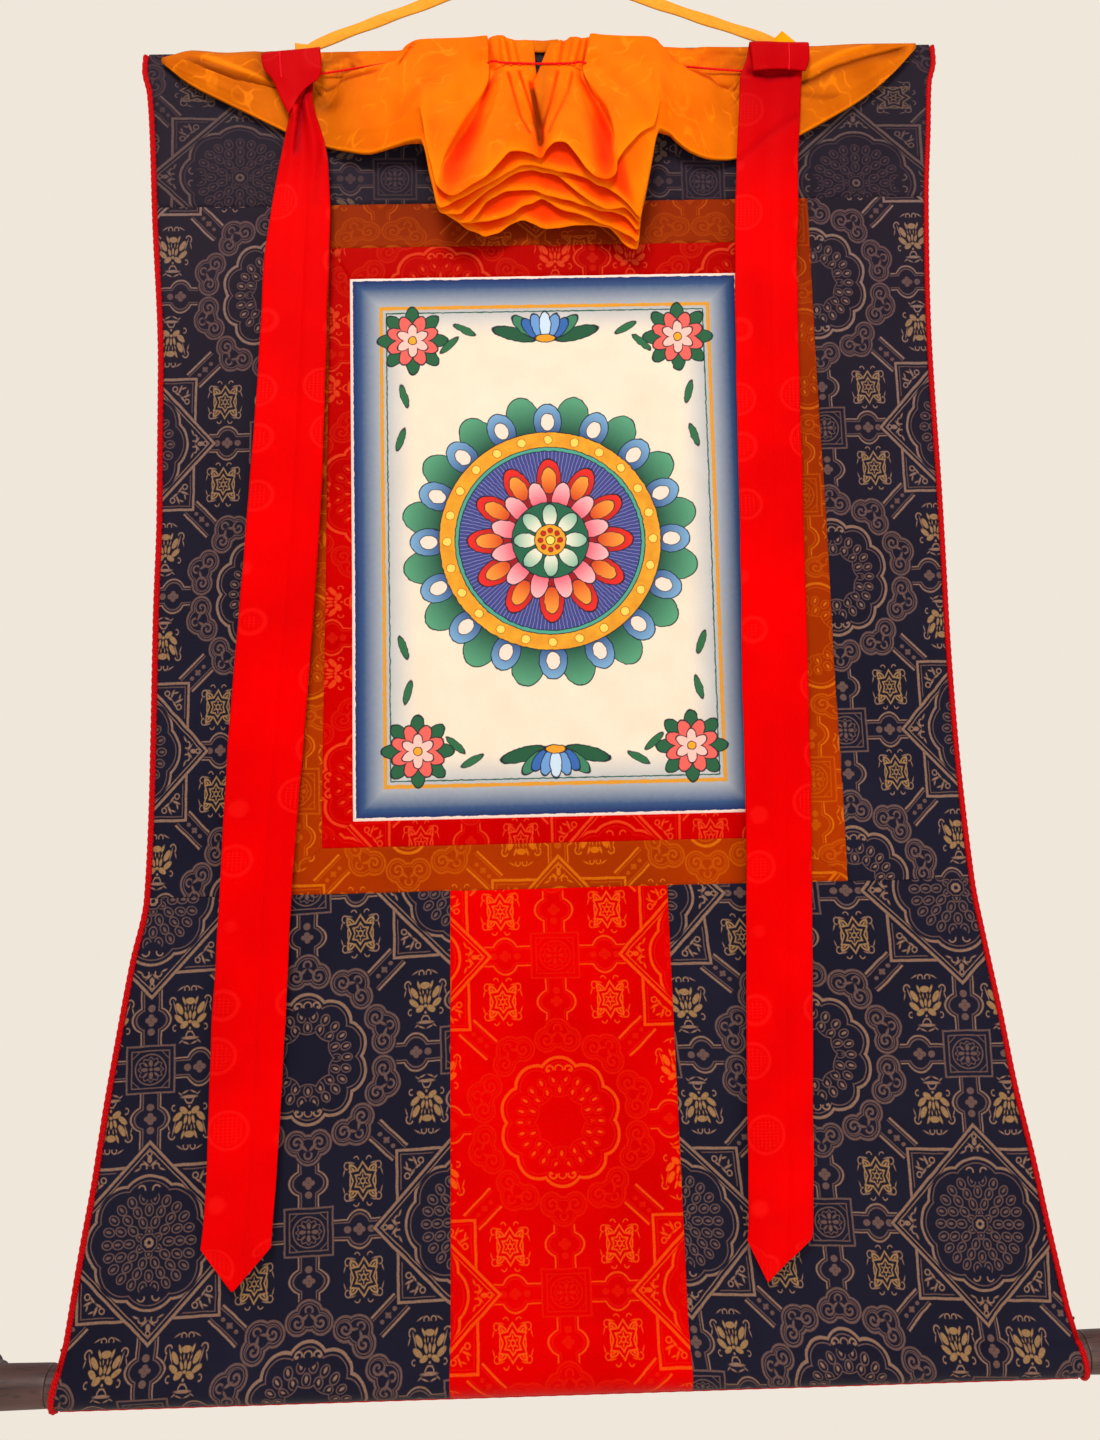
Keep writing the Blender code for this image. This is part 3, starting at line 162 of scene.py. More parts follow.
# Silk cover, a row for each upright line of the cloth, as in the source. In millimetres.
Line = namedtuple("Line", "at top pocket fold lip1 lip2 lip3 lip4 lip5 lip6 "
                          "gather top_y fold_y mid_y belly_y lip_y")
SILK_LINES = [Line(*row) for row in (
    (-294, -78, 0, -79.4, 0, -82.4, 0, 0, 0, 0, 0, -1.8, -4, -4.6, -4.8, -4.6),
    (-272, -71.2, 0, -78, 0, -101, 0, 0, 0, 0, 0, -1.3, -5, -8.2, -7, -5),
    (-244, -73.5, 0, -84, 0, -117, 0, 0, 0, 0, 0, -1.3, -6.2, -10.8, -8.4, -5.6),
    (-216, -72.2, 0, -87, 0, -131.5, 0, 0, 0, 0, 0, -1.3, -4.8, -6.6, -6.2, -5.2),
    (-190, -73.5, 0, -90, 0, -145, 0, 0, 0, 0, 0, -1.3, -4.8, -5, -5, -5),
    (-166, -74, 0, -125, 0, -154.5, 0, 0, 0, 0, 0, -1.3, -4.8, -5.4, -5.4, -5.2),
    (-150, -73.5, -101, -98.5, 0, -160, 0, 0, 0, 0, 0, -1.3, -9.8, -12, -10.8, -8.2),
    (-132, -73.5, -104, -94, 0, -163.2, 0, 0, 0, 0, 0, -1.3, -11.2, -14.2, -13.2, -10),
    (-112, -73.5, -112, -90, 0, -158.8, 0, 0, 0, 0, 0, -1.3, -12, -16, -16, -13),
    (-103, -72.2, -112, -77.5, 0, -158, 0, 0, 0, 0, 0, -1.3, -12, -17.2, -18.6, -16),
    (-92, -71, -112, -71.6, 0, -160, 0, 0, 0, 0, 0, -1.3, -11, -18, -24, -21.5),
    (-74, -70.2, -112, -70.6, -168, -174.5, -175, -170, -166, -164, 1, -1.3, -10.5, -19.5, -29, -25.8),
    (-64, -69.8, -112, -70, -179, -188.5, -189.5, -182, -176, -172, 1, -1.3, -10, -21, -31.6, -27.8),
    (-55, -69, -112, -69.2, -191, -202.5, -203.5, -195, -188, -182, 1, -1.3, -9.6, -22.5, -33.8, -29.3),
    (-46.5, -68, -112, -68, -205.5, -217, -219, -212, -205, -198, 1, -1.3, -9.4, -24, -35.6, -30.5),
    (-44, -67.6, 0, -110, -207.5, -220.5, -222.5, -218, -212, -205, 1, -4.6, -9.4, -20, -35.8, -30.8),
    (-40.5, -66.4, 0, -110, -212, -219.5, -223.5, -222, -218, -212, 1, -5.2, -9.5, -18, -35.6, -31),
    (-37.5, -65.4, 0, -110, -214.5, -216, -223.5, -228, -223, -222, 1, -5.4, -10.5, -21, -37, -31.5),
    (-33, -65.2, 0, -110, -211.5, -212.5, -219.5, -228.3, -226, -228, 1, -6.2, -12.5, -23.5, -38.6, -32),
    (-29, -65.4, 0, -110, -206.5, -207.8, -212.5, -222, -225.5, -230.5, 1, -6.2, -14, -27.5, -39, -32),
    (-25.5, -66.6, 0, -110, -199.5, -203.5, -206.5, -211.5, -225.5, -233.5, 1, -5.2, -13, -27.5, -38.8, -32),
    (-21.5, -68.8, 0, -110, -189.5, -197.5, -199.5, -206, -223, -231, 1, -6.2, -13.4, -26.5, -38.2, -31.5),
    (-18, -69, 0, -110, -181, -192.5, -194, -202.5, -219.5, -224, 1, -5.2, -11.5, -23, -36.8, -30.5),
    (-13, -69.2, 0, -110, -179, -187, -189, -201, -213, -219.8, 1, -5.8, -11.5, -18.5, -34.5, -29),
    (-6, -69.4, 0, -110, -180, -186, -188, -201.5, -210, -223.5, 1, -5.2, -9.5, -15.5, -32.5, -27.5),
    (-2, -98.6, 0, -112, -183, -187.5, -189.5, -204, -206.5, -227, 1, -6.4, -7.8, -12.5, -31, -27),
    (4, -71, 0, -110, -177, -190, -191.5, -207, -209.5, -227.8, 1, -6.4, -10, -16.5, -34, -28.5),
    (11, -70.4, 0, -110, -174, -192.5, -193.5, -208.8, -213.8, -227.4, 1, -5.4, -11, -19.5, -36.5, -30),
    (17, -69.8, 0, -110, -175, -194.5, -199.5, -211, -216.8, -225.6, 1, -6.2, -12.4, -23.5, -38, -31),
    (22, -69.3, 0, -110, -186, -197, -209, -214, -219.8, -225, 1, -5.2, -12.6, -26.5, -39, -32),
    (26, -67.4, 0, -110, -197.5, -200.5, -214.5, -216.5, -223, -224.9, 1, -6.2, -14, -28, -39.5, -32),
    (30, -67.2, 0, -110, -204, -205.6, -219, -219.5, -226.5, -225.8, 1, -6, -14, -27.5, -39.5, -32),
    (33.5, -67.8, 0, -110, -205, -207.5, -222, -221, -229.8, -227.5, 1, -6, -12.5, -24, -39, -32),
    (36.5, -68, 0, -110, -201.5, -211.5, -221.5, -222.5, -234, -234.5, 1, -5.6, -10.5, -21, -37.5, -31.5),
    (39.5, -67, 0, -110, -196, -217, -220.5, -225, -237, -241.5, 1, -5.2, -9.5, -18, -35.8, -31),
    (43, -66.8, 0, -110, -190, -222, -224, -230.5, -239.5, -245, 1, -4.6, -9.4, -20, -35, -30.2),
    (46, -67.2, -112, -67.4, -185, -228, -229.5, -235, -242.5, -245.5, 1, -1.3, -9.4, -22.5, -33.6, -29.2),
    (53, -68.4, -112, -68.6, -177, -230, -231, -234, -238, -240, 1, -1.3, -9.8, -21.8, -32.2, -28.2),
    (62, -69.6, -112, -69.8, -170, -220, -221, -222.5, -223.5, -223, 1, -1.3, -10.2, -20.8, -30.8, -27.2),
    (70, -70.4, -112, -70.6, -163.5, -205, -206.5, -207.5, -208, -207, 1, -1.3, -10.6, -19.8, -29.4, -26.2),
    (78, -71, -112, -71.2, -159, -187, -188.5, -189, -189, -188, 1, -1.3, -11, -19, -28, -25.2),
    (85, -71.5, -112, -71.8, -155.5, -170, -171, -171.5, -171, -170, 1, -1.3, -11.4, -18.4, -26.4, -23.8),
    (92, -72, -112, -74.5, 0, -153.5, 0, 0, 0, 0, 0, -1.3, -11.6, -18, -22.6, -20),
    (98.5, -73, -112, -83, 0, -153.5, 0, 0, 0, 0, 0, -1.3, -12, -17.2, -18.6, -16),
    (105, -73.5, -114, -93.5, 0, -158.5, 0, 0, 0, 0, 0, -1.3, -11.6, -16.4, -16.6, -13.8),
    (117, -74.2, -117, -97.5, 0, -166.5, 0, 0, 0, 0, 0, -1.3, -11, -15, -14.4, -11.6),
    (133, -73.5, -106.5, -103.5, 0, -170.5, 0, 0, 0, 0, 0, -1.3, -9.6, -12, -10.8, -8.4),
    (148, -73.8, 0, -128, 0, -169, 0, 0, 0, 0, 0, -1.3, -4.8, -5.4, -5.4, -5.2),
    (170, -74.5, 0, -95, 0, -164, 0, 0, 0, 0, 0, -1.3, -4.8, -5, -5, -5),
    (190, -74.5, 0, -95, 0, -156, 0, 0, 0, 0, 0, -1.3, -4.8, -5, -5, -5),
    (210, -74.5, 0, -92, 0, -146, 0, 0, 0, 0, 0, -1.3, -4.8, -6.2, -6, -5.2),
    (230, -73.8, 0, -88, 0, -135, 0, 0, 0, 0, 0, -1.3, -6.6, -10.4, -8, -5.6),
    (254, -72.8, 0, -83, 0, -120, 0, 0, 0, 0, 0, -1.3, -6, -10, -7.6, -5.2),
    (278, -72.8, 0, -78, 0, -100, 0, 0, 0, 0, 0, -1.3, -5, -7, -6, -5),
    (298, -74.2, 0, -75.4, 0, -78.4, 0, 0, 0, 0, 0, -1.8, -4, -4.6, -4.8, -4.6),
)]
# How the gathered lines spread: where each lies at these heights
SPREAD_HEIGHTS = (-72, -92, -100, -112, -133, -155, -175, -190, -202, -214, -226, -240)
SPREAD = {
    -92: (-92, -92, -92, -92, -92.5, -92.5, -91, -89, -88, -87, -86, -85),
    -74: (-74, -71, -72, -74, -79, -84, -87.3, -87, -86, -85, -84, -84),
    -64: (-63, -58.5, -60, -63, -70, -78, -84.5, -85, -84.2, -83, -82, -82),
    -55: (-52, -47, -49, -54, -62, -71, -79.5, -82, -82, -81, -80, -80),
    -46.5: (-40, -36, -37.7, -43.8, -50.2, -60.6, -70.2, -75.8, -78.6, -79.4, -77, -75),
    -44: (-39.3, -35.4, -37.1, -43, -49.4, -59.8, -69.4, -74.9, -77.6, -77.5, -75.6, -74),
    -40.5: (-37.8, -34, -35, -40.6, -47, -56.4, -65.6, -71, -73, -73, -71.5, -68),
    -37.5: (-35, -31.5, -32.5, -37, -43, -51.5, -60, -65, -67, -66.5, -62.5, -60),
    -33: (-31.5, -28, -28.8, -32.5, -38, -46, -53, -57, -58.5, -58, -57, -54),
    -29: (-28, -24.8, -25.6, -28.6, -34, -40, -45, -48, -49, -49.5, -50, -50),
    -25.5: (-24.6, -22, -22.6, -25, -29.5, -34, -37.5, -39.5, -41, -42, -44, -44),
    -21.5: (-20, -18.5, -19, -21, -25, -28, -30.5, -31.5, -32.5, -33.5, -35, -36),
    -18: (-16, -15, -15.6, -17, -19.8, -21.5, -23, -24, -24.5, -25, -25, -25),
    -13: (-10.5, -10.5, -11, -12, -13.6, -14.5, -15, -15.5, -16, -16, -16, -16),
    -6: (-4.3, -3.8, -4.6, -6.5, -7.5, -7.6, -7.5, -7.8, -8, -8, -8, -8),
    -2: (-2, -2, -2, -3.6, -2.4, -1.6, -1, -1, -1, -1, -1, -1),
    4: (10.7, 2.8, -0.6, -4.8, 1.2, 3.5, 4.5, 5, 5, 5, 5, 5),
    11: (14, 7, 4.6, 3, 7, 9, 10.5, 11, 11, 11, 11, 11),
    17: (18, 13, 11.5, 10.5, 13, 15, 17, 18, 18.5, 19, 19, 19),
    22: (22, 18.5, 17.5, 17.5, 20, 23, 25, 26.5, 27, 27.5, 28, 28),
    26: (25.5, 22.5, 22, 22.8, 26, 29.5, 32, 33.5, 34, 35, 35.5, 36),
    30: (29, 26, 25.6, 27.2, 31, 36, 39, 40.5, 41, 42, 42.5, 43),
    33.5: (33, 28.5, 28.2, 31, 36, 42, 45, 46.5, 47.5, 48.5, 49.5, 50),
    36.5: (36.5, 30.5, 30.4, 34, 41, 47.6, 50.5, 52, 53.5, 55, 56.5, 57),
    39.5: (38.5, 32, 32, 36.4, 44.6, 51.4, 53, 54.5, 57, 60, 62, 62.5),
    43: (40, 33, 33.2, 38.2, 47, 54, 55.2, 56, 60, 63.5, 66.5, 67.5),
    46: (41, 33.8, 34, 39, 47.8, 55, 57, 59, 64, 67.5, 70, 70.5),
    53: (49, 41, 41, 45, 53, 60, 63, 66, 70, 72.3, 72.8, 72.8),
    62: (60, 53, 52, 55, 61, 66.5, 70, 73.5, 75.5, 75.5, 74, 73.6),
    70: (69, 65, 65, 66, 69.5, 73, 76.5, 78.5, 78.5, 77, 75, 74.5),
    78: (78, 76, 76, 76.5, 77.5, 79.5, 82, 82.2, 80.5, 78.3, 77, 76),
    85: (85, 84, 84, 84.5, 85, 85.5, 85.8, 84.5, 83, 82, 81, 80),
    92: (92, 92, 92, 92, 92, 91.5, 90, 88.5, 88, 87, 86, 85),
}
STRIP_Y = -4.2
CREST_DROP = 6.0
CORD_HEIGHT = -91.5
CORD_Y = -8.6
RETURN_Y = -3.1
RETURN_SHARE = 0.72
LAST_LIP_Y = -12.0
LAST_RISE = 20.0
LIP_SHARES = (0.0, 0.21, 0.45, 0.68, 1.0, 1.2)
WING_SHARES = (0.62, 0.78, 1.00)
FRONT_SHARES = (0.22, 0.42, 0.62, 0.82)
PLAIN_SHARES = (0.72, 0.78, 0.84, 0.90, 0.95)
PLAIN_COUNT = 23
# Depth shares of a fold's foot and of the slot behind it, how far the slot and its wall run up, and painted
# shades: a painted highlight on a rim and painted shade under it
SLOT_SHARES = (0.10, 0.30, 0.96)
SLOT_RISE = 20.0
WALL_RISE = 10.0
RIM_SHADE = -0.35
UNDER_SHADE = 0.45
FRONT_ROWS = 8
# Painted shade of the lines that lie in a deep fold, at four heights of the front and at its foot; below
# zero is a painted highlight
FOLD_SHADES = {
    -44: (0.05, 0.05, 0.05, 0.05, 0.0), -40.5: (0.8, 1.0, 1.0, 0.8, 0.2), -37.5: (0.5, 0.9, 1.0, 0.8, 0.15),
    -33: (0.1, 0.4, 0.6, 0.5, 0.1), -29: (0.0, 0.0, 0.15, 0.2, 0.0), -13: (0.0, 0.0, 0.05, 0.0, -0.3),
    -6: (0.1, 0.1, 0.15, 0.2, 0.0), -2: (0.6, 0.7, 0.8, 0.7, 0.4), 4: (0.2, 0.2, 0.2, 0.2, 0.0),
    11: (0.0, 0.0, 0.0, 0.0, -0.3), 30: (0.0, 0.25, 0.5, 0.6, 0.1), 33.5: (0.2, 0.6, 0.9, 1.0, 0.3),
    36.5: (0.6, 1.0, 1.0, 0.8, 0.2), 39.5: (0.9, 1.0, 1.0, 0.5, 0.1), 43: (0.05, 0.05, 0.05, 0.05, 0.0),
}
# Creases pressed into the front: line, width, depth back, painted shade (below zero a painted highlight),
# and the side it falls on: 1 is below, -1 above, 0 both
CREASES = (
    (((-46.0, -91.5), (-35.0, -91.0)), 10.0, 4.4, 0.0, 0),
    (((33.0, -92.0), (44.0, -92.0)), 10.0, 4.4, 0.0, 0),
    (((-24.0, -99.5), (-19.8, -120.8), (-14.2, -145.2), (-8.5, -161.4)), 2.2, 2.2, 0.75, 0),
    (((-15.5, -98.1), (-9.9, -119.5), (-5.6, -135.8), (-2.9, -152.1), (-1.0, -172.0)), 2.0, 2.2, 0.85, 0),
    (((14.5, -98.6), (8.4, -127.9), (3.4, -144.1), (0.0, -165.0)), 2.2, 2.4, 0.80, 0),
    (((26.0, -100.2), (21.6, -121.3), (15.0, -137.5), (9.3, -153.6), (6.0, -164.1)), 2.2, 2.0, 0.60, 0),
    (((-6.7, -108.0), (-3.2, -131.7), (-0.5, -148.1), (-0.1, -170.0)), 3.0, 2.4, 1.00, 0),
    (((-38.5, -69.0), (-35.7, -92.0)), 2.2, 1.8, 0.45, 0),
    (((-30.5, -69.0), (-28.6, -92.0)), 2.0, 1.5, 0.30, 0),
    (((-25.2, -69.0), (-21.9, -92.0)), 2.2, 1.8, 0.45, 0),
    (((-19.0, -70.0), (-14.8, -92.0)), 2.0, 1.5, 0.40, 0),
    (((19.9, -70.0), (15.7, -92.0)), 2.2, 1.8, 0.45, 0),
    (((27.0, -69.0), (22.4, -92.0)), 1.8, 1.2, 0.25, 0),
    (((34.0, -69.0), (28.1, -92.0)), 2.2, 1.8, 0.45, 0),
    (((38.5, -69.0), (34.6, -92.0)), 2.0, 1.6, 0.40, 0),
    (((-176.0, -111.5), (-165.8, -108.1), (-154.2, -103.7), (-142.6, -101.0), (-128.0, -97.8)),
     3.0, 1.6, 0.70, 0),
    (((115.9, -97.2), (127.4, -103.1), (140.4, -108.3), (160.0, -113.0)), 3.0, 1.8, 0.75, 0),
    (((95.0, -78.6), (103.1, -87.1), (116.0, -98.2)), 5.0, 2.0, 0.95, -1),
    (((-99.0, -76.0), (-103.9, -84.3), (-109.0, -92.0)), 3.0, 1.6, 0.85, -1),
    (((-269.0, -86.0), (-254.3, -94.2), (-236.5, -101.4), (-221.0, -103.3), (-205.0, -106.6)),
     9.0, 2.6, 0.80, -1),
    (((-262.0, -80.0), (-252.0, -83.3), (-232.6, -92.6), (-205.0, -103.9)), 4.0, -2.2, -0.60, 0),
    (((-216.0, -74.0), (-212.0, -88.0), (-204.0, -98.0)), 10.0, 1.6, 0.55, 0),
    (((203.0, -105.8), (216.2, -103.2), (232.3, -95.9), (252.3, -88.7), (284.0, -78.9)), 9.0, 2.6, 0.80, 1),
    (((203.0, -101.0), (218.0, -94.0), (240.0, -84.0), (262.0, -78.0)), 4.0, -2.0, -0.40, 0),
    (((203.8, -116.3), (219.3, -120.7), (238.9, -121.8)), 4.0, 1.4, 0.40, 0),
    (((-170.0, -94.5), (-156.7, -86.7), (-144.0, -78.0)), 4.0, -1.6, -0.20, 0),
    (((-170.0, -84.0), (-156.0, -79.0), (-146.0, -76.0)), 6.0, 1.4, 0.50, 0),
    (((-142.7, -80.9), (-147.4, -90.8), (-158.8, -94.1)), 4.0, 1.4, 0.75, 0),
    (((166.0, -81.5), (142.3, -77.9), (118.8, -75.1)), 3.0, 1.4, 0.45, 0),
    (((166.0, -87.4), (142.0, -85.4), (122.5, -82.7)), 3.0, 1.4, 0.40, 0),
    (((166.0, -93.4), (137.8, -92.0), (118.2, -90.9)), 3.0, 1.6, 0.45, 0),
    (((-176.0, -118.0), (-168.0, -122.0), (-160.0, -121.0)), 9.0, 1.6, 0.55, 0),
    (((-99.0, -160.0), (-88.0, -135.0), (-66.0, -112.0)), 12.0, -2.0, -0.10, 0),
    (((-118.0, -158.0), (-104.0, -130.0), (-84.0, -108.0)), 10.0, 1.6, 0.18, 0),
    (((84.0, -150.0), (76.0, -128.0), (58.0, -106.0)), 10.0, 1.4, 0.15, 0),
    (((101.0, -152.0), (96.0, -130.0), (88.0, -108.0)), 10.0, -1.6, 0.0, 0),
    (((122.0, -162.0), (118.0, -140.0), (106.0, -116.0)), 12.0, 1.2, 0.12, 0),
)
# How far out the silk's wings begin to be browner and darker as painted shade, and over what width, in
# metres
WING_START = 0.085
WING_FADE = 0.080
# Other places of the silk with browner painted shade, in the middle's hollow and on a shaded pleat: line,
# width and amount
BROWN_PAINTED_SHADES = (
    (((5.0, -96.0), (2.0, -122.0), (-0.5, -150.0)), 8.0, 0.9),
    (((-5.0, -114.0), (-2.5, -140.0), (-0.5, -172.0)), 4.0, 1.0),
)

TIE_RADIUS = 0.0008
TIE_ROUTE = in_metres((
    (-1800, -72, -972), (-1660, -72, -955), (-1500, -68, -928), (-1320, -62, -896), (-1150, -62, -874),
    (-1000, -62, -868), (-820, -62, -878), (-620, -60, -890), (-470, -62, -897), (-412, -78, -900),
    (-372, -108, -903), (-335, -112, -905), (-305, -102, -907), (-180, -98, -913), (0, -96, -918),
    (180, -98, -920), (275, -102, -920), (312, -112, -920), (348, -106, -919), (388, -76, -920),
    (460, -62, -922), (700, -60, -920), (900, -62, -917), (1040, -62, -922), (1190, -62, -937),
    (1340, -64, -955), (1480, -70, -972), (1660, -72, -988),
))
STITCHES = {
    "stitch_left": in_metres(((-1999, -146, -830), (-1994, -152, -940), (-1984, -150, -1045))),
    "stitch_right": in_metres(((1949, -144, -815), (1946, -152, -930), (1939, -146, -1030))),
}
TAPE_WIDTH = 0.0090
TAPE_ROUTE = in_metres((
    (-1925, 116, -880), (-1895, 116, -780), (-1860, 116, -680), (-1800, 113, -600), (-1650, 103, -536),
    (-1300, 81, -418), (-900, 56, -288), (-500, 31, -158), (-150, 9, -44), (0, 0, 0), (150, 9, -44),
    (500, 29, -158), (950, 54, -304), (1400, 79, -450), (1800, 102, -576), (1930, 113, -636),
    (1985, 116, -700), (2010, 116, -790), (2030, 116, -880),
))

# Brocade repeat in millimetres: from a cloud medallion to the next square, across and down
HALF_ACROSS = 104.9
HALF_DOWN = 115.9
# Half the square root of two, how far threads wander in metres, and a wave texture's scale for one
# thread a metre
DIAGONAL = 0.7071
THREAD_WANDER = 0.0012
WAVE_SCALE = 0.314
# Where four points of the repeat lie on each panel, in tenths of a millimetre: the cloud medallion,
# the squares beside and below it, and the star medallion
LATTICE = {
    "navy_top": ((-1148, -705), (-1148, -1790), (-2351, -675), (-2351, -1760)),
    "navy_side_left": ((-2085, -2718), (-3125, -2718), (-2107, -3886), (-3147, -3886)),
    "navy_side_right": ((2110, -2694), (3150, -2694), (2130, -3856), (3170, -3856)),
    "navy_skirt_left": ((-1847, -8469), (-2977, -8513), (-1847, -9671), (-2978, -9711)),
    "navy_skirt_right": ((1812, -8534), (2951, -8558), (1890, -9711), (2970, -9756)),
    "door": ((-22, -8958), (1118, -8958), (-10, -10137), (1130, -10137)),
    "orange_border_bottom": ((-1094, -6560), (6, -6560), (-1094, -7740), (6, -7740)),
    "orange_border_top": ((1147, -2733), (1147, -3803), (-57, -2733), (-57, -3803)),
    "orange_border_left": ((-1900, -3300), (-1900, -4380), (-720, -3300), (-720, -4380)),
    "orange_border_right": ((1900, -3300), (1900, -4380), (720, -3300), (720, -4380)),
    "red_border_bottom": ((-632, -6088), (438, -6088), (-632, -7270), (438, -7270)),
    "red_border_top": ((-792, -2800), (386, -2800), (-792, -3980), (386, -3980)),
    "red_border_left": ((-1300, -4300), (-1300, -5400), (-120, -4300), (-120, -5400)),
    "red_border_right": ((1300, -4300), (1300, -5400), (120, -4300), (120, -5400)),
}


def make_camera():
    """Camera at the photograph's place and angle."""
    pitch, yaw, roll = CAMERA_PITCH, CAMERA_YAW, CAMERA_ROLL
    ahead = Vector((math.sin(yaw) * math.cos(pitch), math.cos(yaw) * math.cos(pitch), math.sin(pitch)))
    right = Vector((math.cos(yaw), -math.sin(yaw), 0.0))
    above = right.cross(ahead)
    side = right * math.cos(roll) + above * math.sin(roll)
    top = above * math.cos(roll) - right * math.sin(roll)
    data = bpy.data.cameras.new("Camera")
    data.lens = CAMERA_LENS
    data.clip_start = 0.01
    camera = bpy.data.objects.new("Camera", data)
    rows = Matrix((side, top, -ahead)).transposed().to_4x4()
    camera.matrix_world = Matrix.Translation(CAMERA_PLACE) @ rows
    bpy.context.scene.collection.objects.link(camera)
    bpy.context.scene.camera = camera


# ---- Nodes ----

class Wire:
    """A socket of the tree being drawn, used like a number."""
    tree = None

    def __init__(self, socket):
        self.socket = socket

    def __add__(self, other):
        return compute("ADD", self, other)

    def __sub__(self, other):
        return compute("SUBTRACT", self, other)

    def __rsub__(self, other):
        return compute("SUBTRACT", other, self)

    def __mul__(self, other):
        return compute("MULTIPLY", self, other)

    __radd__ = __add__
    __rmul__ = __mul__


def feed(socket, value):
    """Link a wire to a socket, or set a plain value on it."""
    if isinstance(value, Wire):
        Wire.tree.links.new(value.socket, socket)
    else:
        socket.default_value = value


def draw(kind, *terms, **settings):
    """New shader node with its settings made and its first inputs fed."""
    node = Wire.tree.nodes.new(f"ShaderNode{kind}")
    for name, value in settings.items():
        setattr(node, name, value)
    for socket, term in zip(node.inputs, terms):
        feed(socket, term)
    return node


def fill(node, **values):
    """Feed a node's inputs by name, with an underscore for each space."""
    for name, value in values.items():
        feed(node.inputs[name.replace("_", " ")], value)
    return node


def compute(operation, *terms, clamp=False):
    return Wire(draw("Math", *terms, operation=operation, use_clamp=clamp).outputs[0])


def absolute(value):
    return compute("ABSOLUTE", value)


def least(*values):
    return reduce(lambda first, second: compute("MINIMUM", first, second), values)


def most(*values):
    return reduce(lambda first, second: compute("MAXIMUM", first, second), values)


def pingpong(value, size):
    return compute("PINGPONG", value, size)


def angle(across, along):
    return compute("ARCTAN2", across, along)


def cosine(value):
    return compute("COSINE", value)


def sine(value):
    return compute("SINE", value)


def step(value):
    return compute("GREATER_THAN", value, 0.0)


def mask(field, softness):
    """1 where a signed field is negative, with a soft edge."""
    return compute("MULTIPLY_ADD", field, -1.0 / softness, 0.5, clamp=True)


class Spot:
    """A place in the plane."""

    def __init__(self, across, along):
        self.wire = Wire(draw("CombineXYZ", across, along).outputs[0])

    def measure(self, operation, across, along):
        node = draw("VectorMath", self.wire, (across, along, 0.0), operation=operation)
        return Wire(node.outputs["Value"])

    def away(self, across, along):
        return self.measure("DISTANCE", across, along)

    def along(self, across, along):
        return self.measure("DOT_PRODUCT", across, along)

    def oval(self, across, along, turn, length, width):
        """Distance from a centre in units of an oval's half axes."""
        c, s = math.cos(turn), math.sin(turn)
        laid = Spot(self.along(c / length, s / length), self.along(-s / width, c / width))
        return laid.away((across * c + along * s) / length, (along * c - across * s) / width)


def polar(reach, turn):
    """Place at a distance and an angle."""
    return Spot(reach * cosine(turn), reach * sine(turn))


# ---- Brocade repeat ----

def line(distance, half):
    """Signed field of a line of the given half width along distance 0."""
    return absolute(distance) - half


def disc(spot, across, along, radius):
    return spot.away(across, along) - radius


def ring(spot, across, along, radius, half):
    return line(spot.away(across, along) - radius, half)


def hook(spot, across, along, radius, half, edge, *aim):
    """Ring cut open: only its part beyond an edge in one direction stays."""
    return most(ring(spot, across, along, radius, half), edge - spot.along(*aim))


def leaf(spot, across, along, turn, length, width):
    """Oval with its long axis turned from the first axis."""
    size = min(length, width)
    return compute("MULTIPLY_ADD", spot.oval(across, along, turn, length, width), size, -size)


def marks(kind, spot, *rows):
    """Union of several marks of one kind."""
    return least(*(kind(spot, *row) for row in rows))


def folded(x, z, count, start=0.0):
    """Place folded into one of the equal sectors round a centre, and its distance out."""
    reach = Spot(x, z).away(0.0, 0.0)
    return polar(reach, pingpong(angle(x, z) + start, math.pi / count)), reach


def scallops(x, z, lobes, inner, radius):
    """Distance outside a ring of round lobes, the folded place it is read in, and the reach."""
    sector, reach = folded(x, z, lobes)
    return sector.away(inner, 0.0) - radius, sector, reach


# Rings of a medallion: distance out, number of petals, and a petal's half length and half width
LACE = ((6.4, 6, 3.2, 2.4), (13.4, 10, 3.6, 2.8), (20.8, 16, 3.6, 2.8), (28.4, 22, 3.6, 2.8))


def lace(x, z, reach):
    """Rings of small petals that fill a medallion: their outlines and the leaves in them."""
    turn = angle(x, z)
    lines, leaves = line(reach - 2.7, 0.32), reach - 1.2
    for index, (radius, count, length, width) in enumerate(LACE):
        head = polar(reach, pingpong(turn + (index % 2) * math.pi / count, math.pi / count))
        lines = least(lines, line(leaf(head, radius, 0.0, 0.0, length, width), 0.34))
        leaves = least(leaves, leaf(head, radius + 0.4, 0.0, 0.0, length * 0.52, width * 0.34))
    return lines, leaves


def spiral(spot, across, along, pitch, half, size):
    """Line that winds out from a point."""
    reach = spot.away(across, along)
    turn = angle(spot.along(1.0, 0.0) - across, spot.along(0.0, 1.0) - along)
    wound = compute("FRACT", reach * (1 / pitch) + turn * (0.5 / math.pi))
    return most(line(wound - 0.5, half / pitch) * pitch, reach - size)


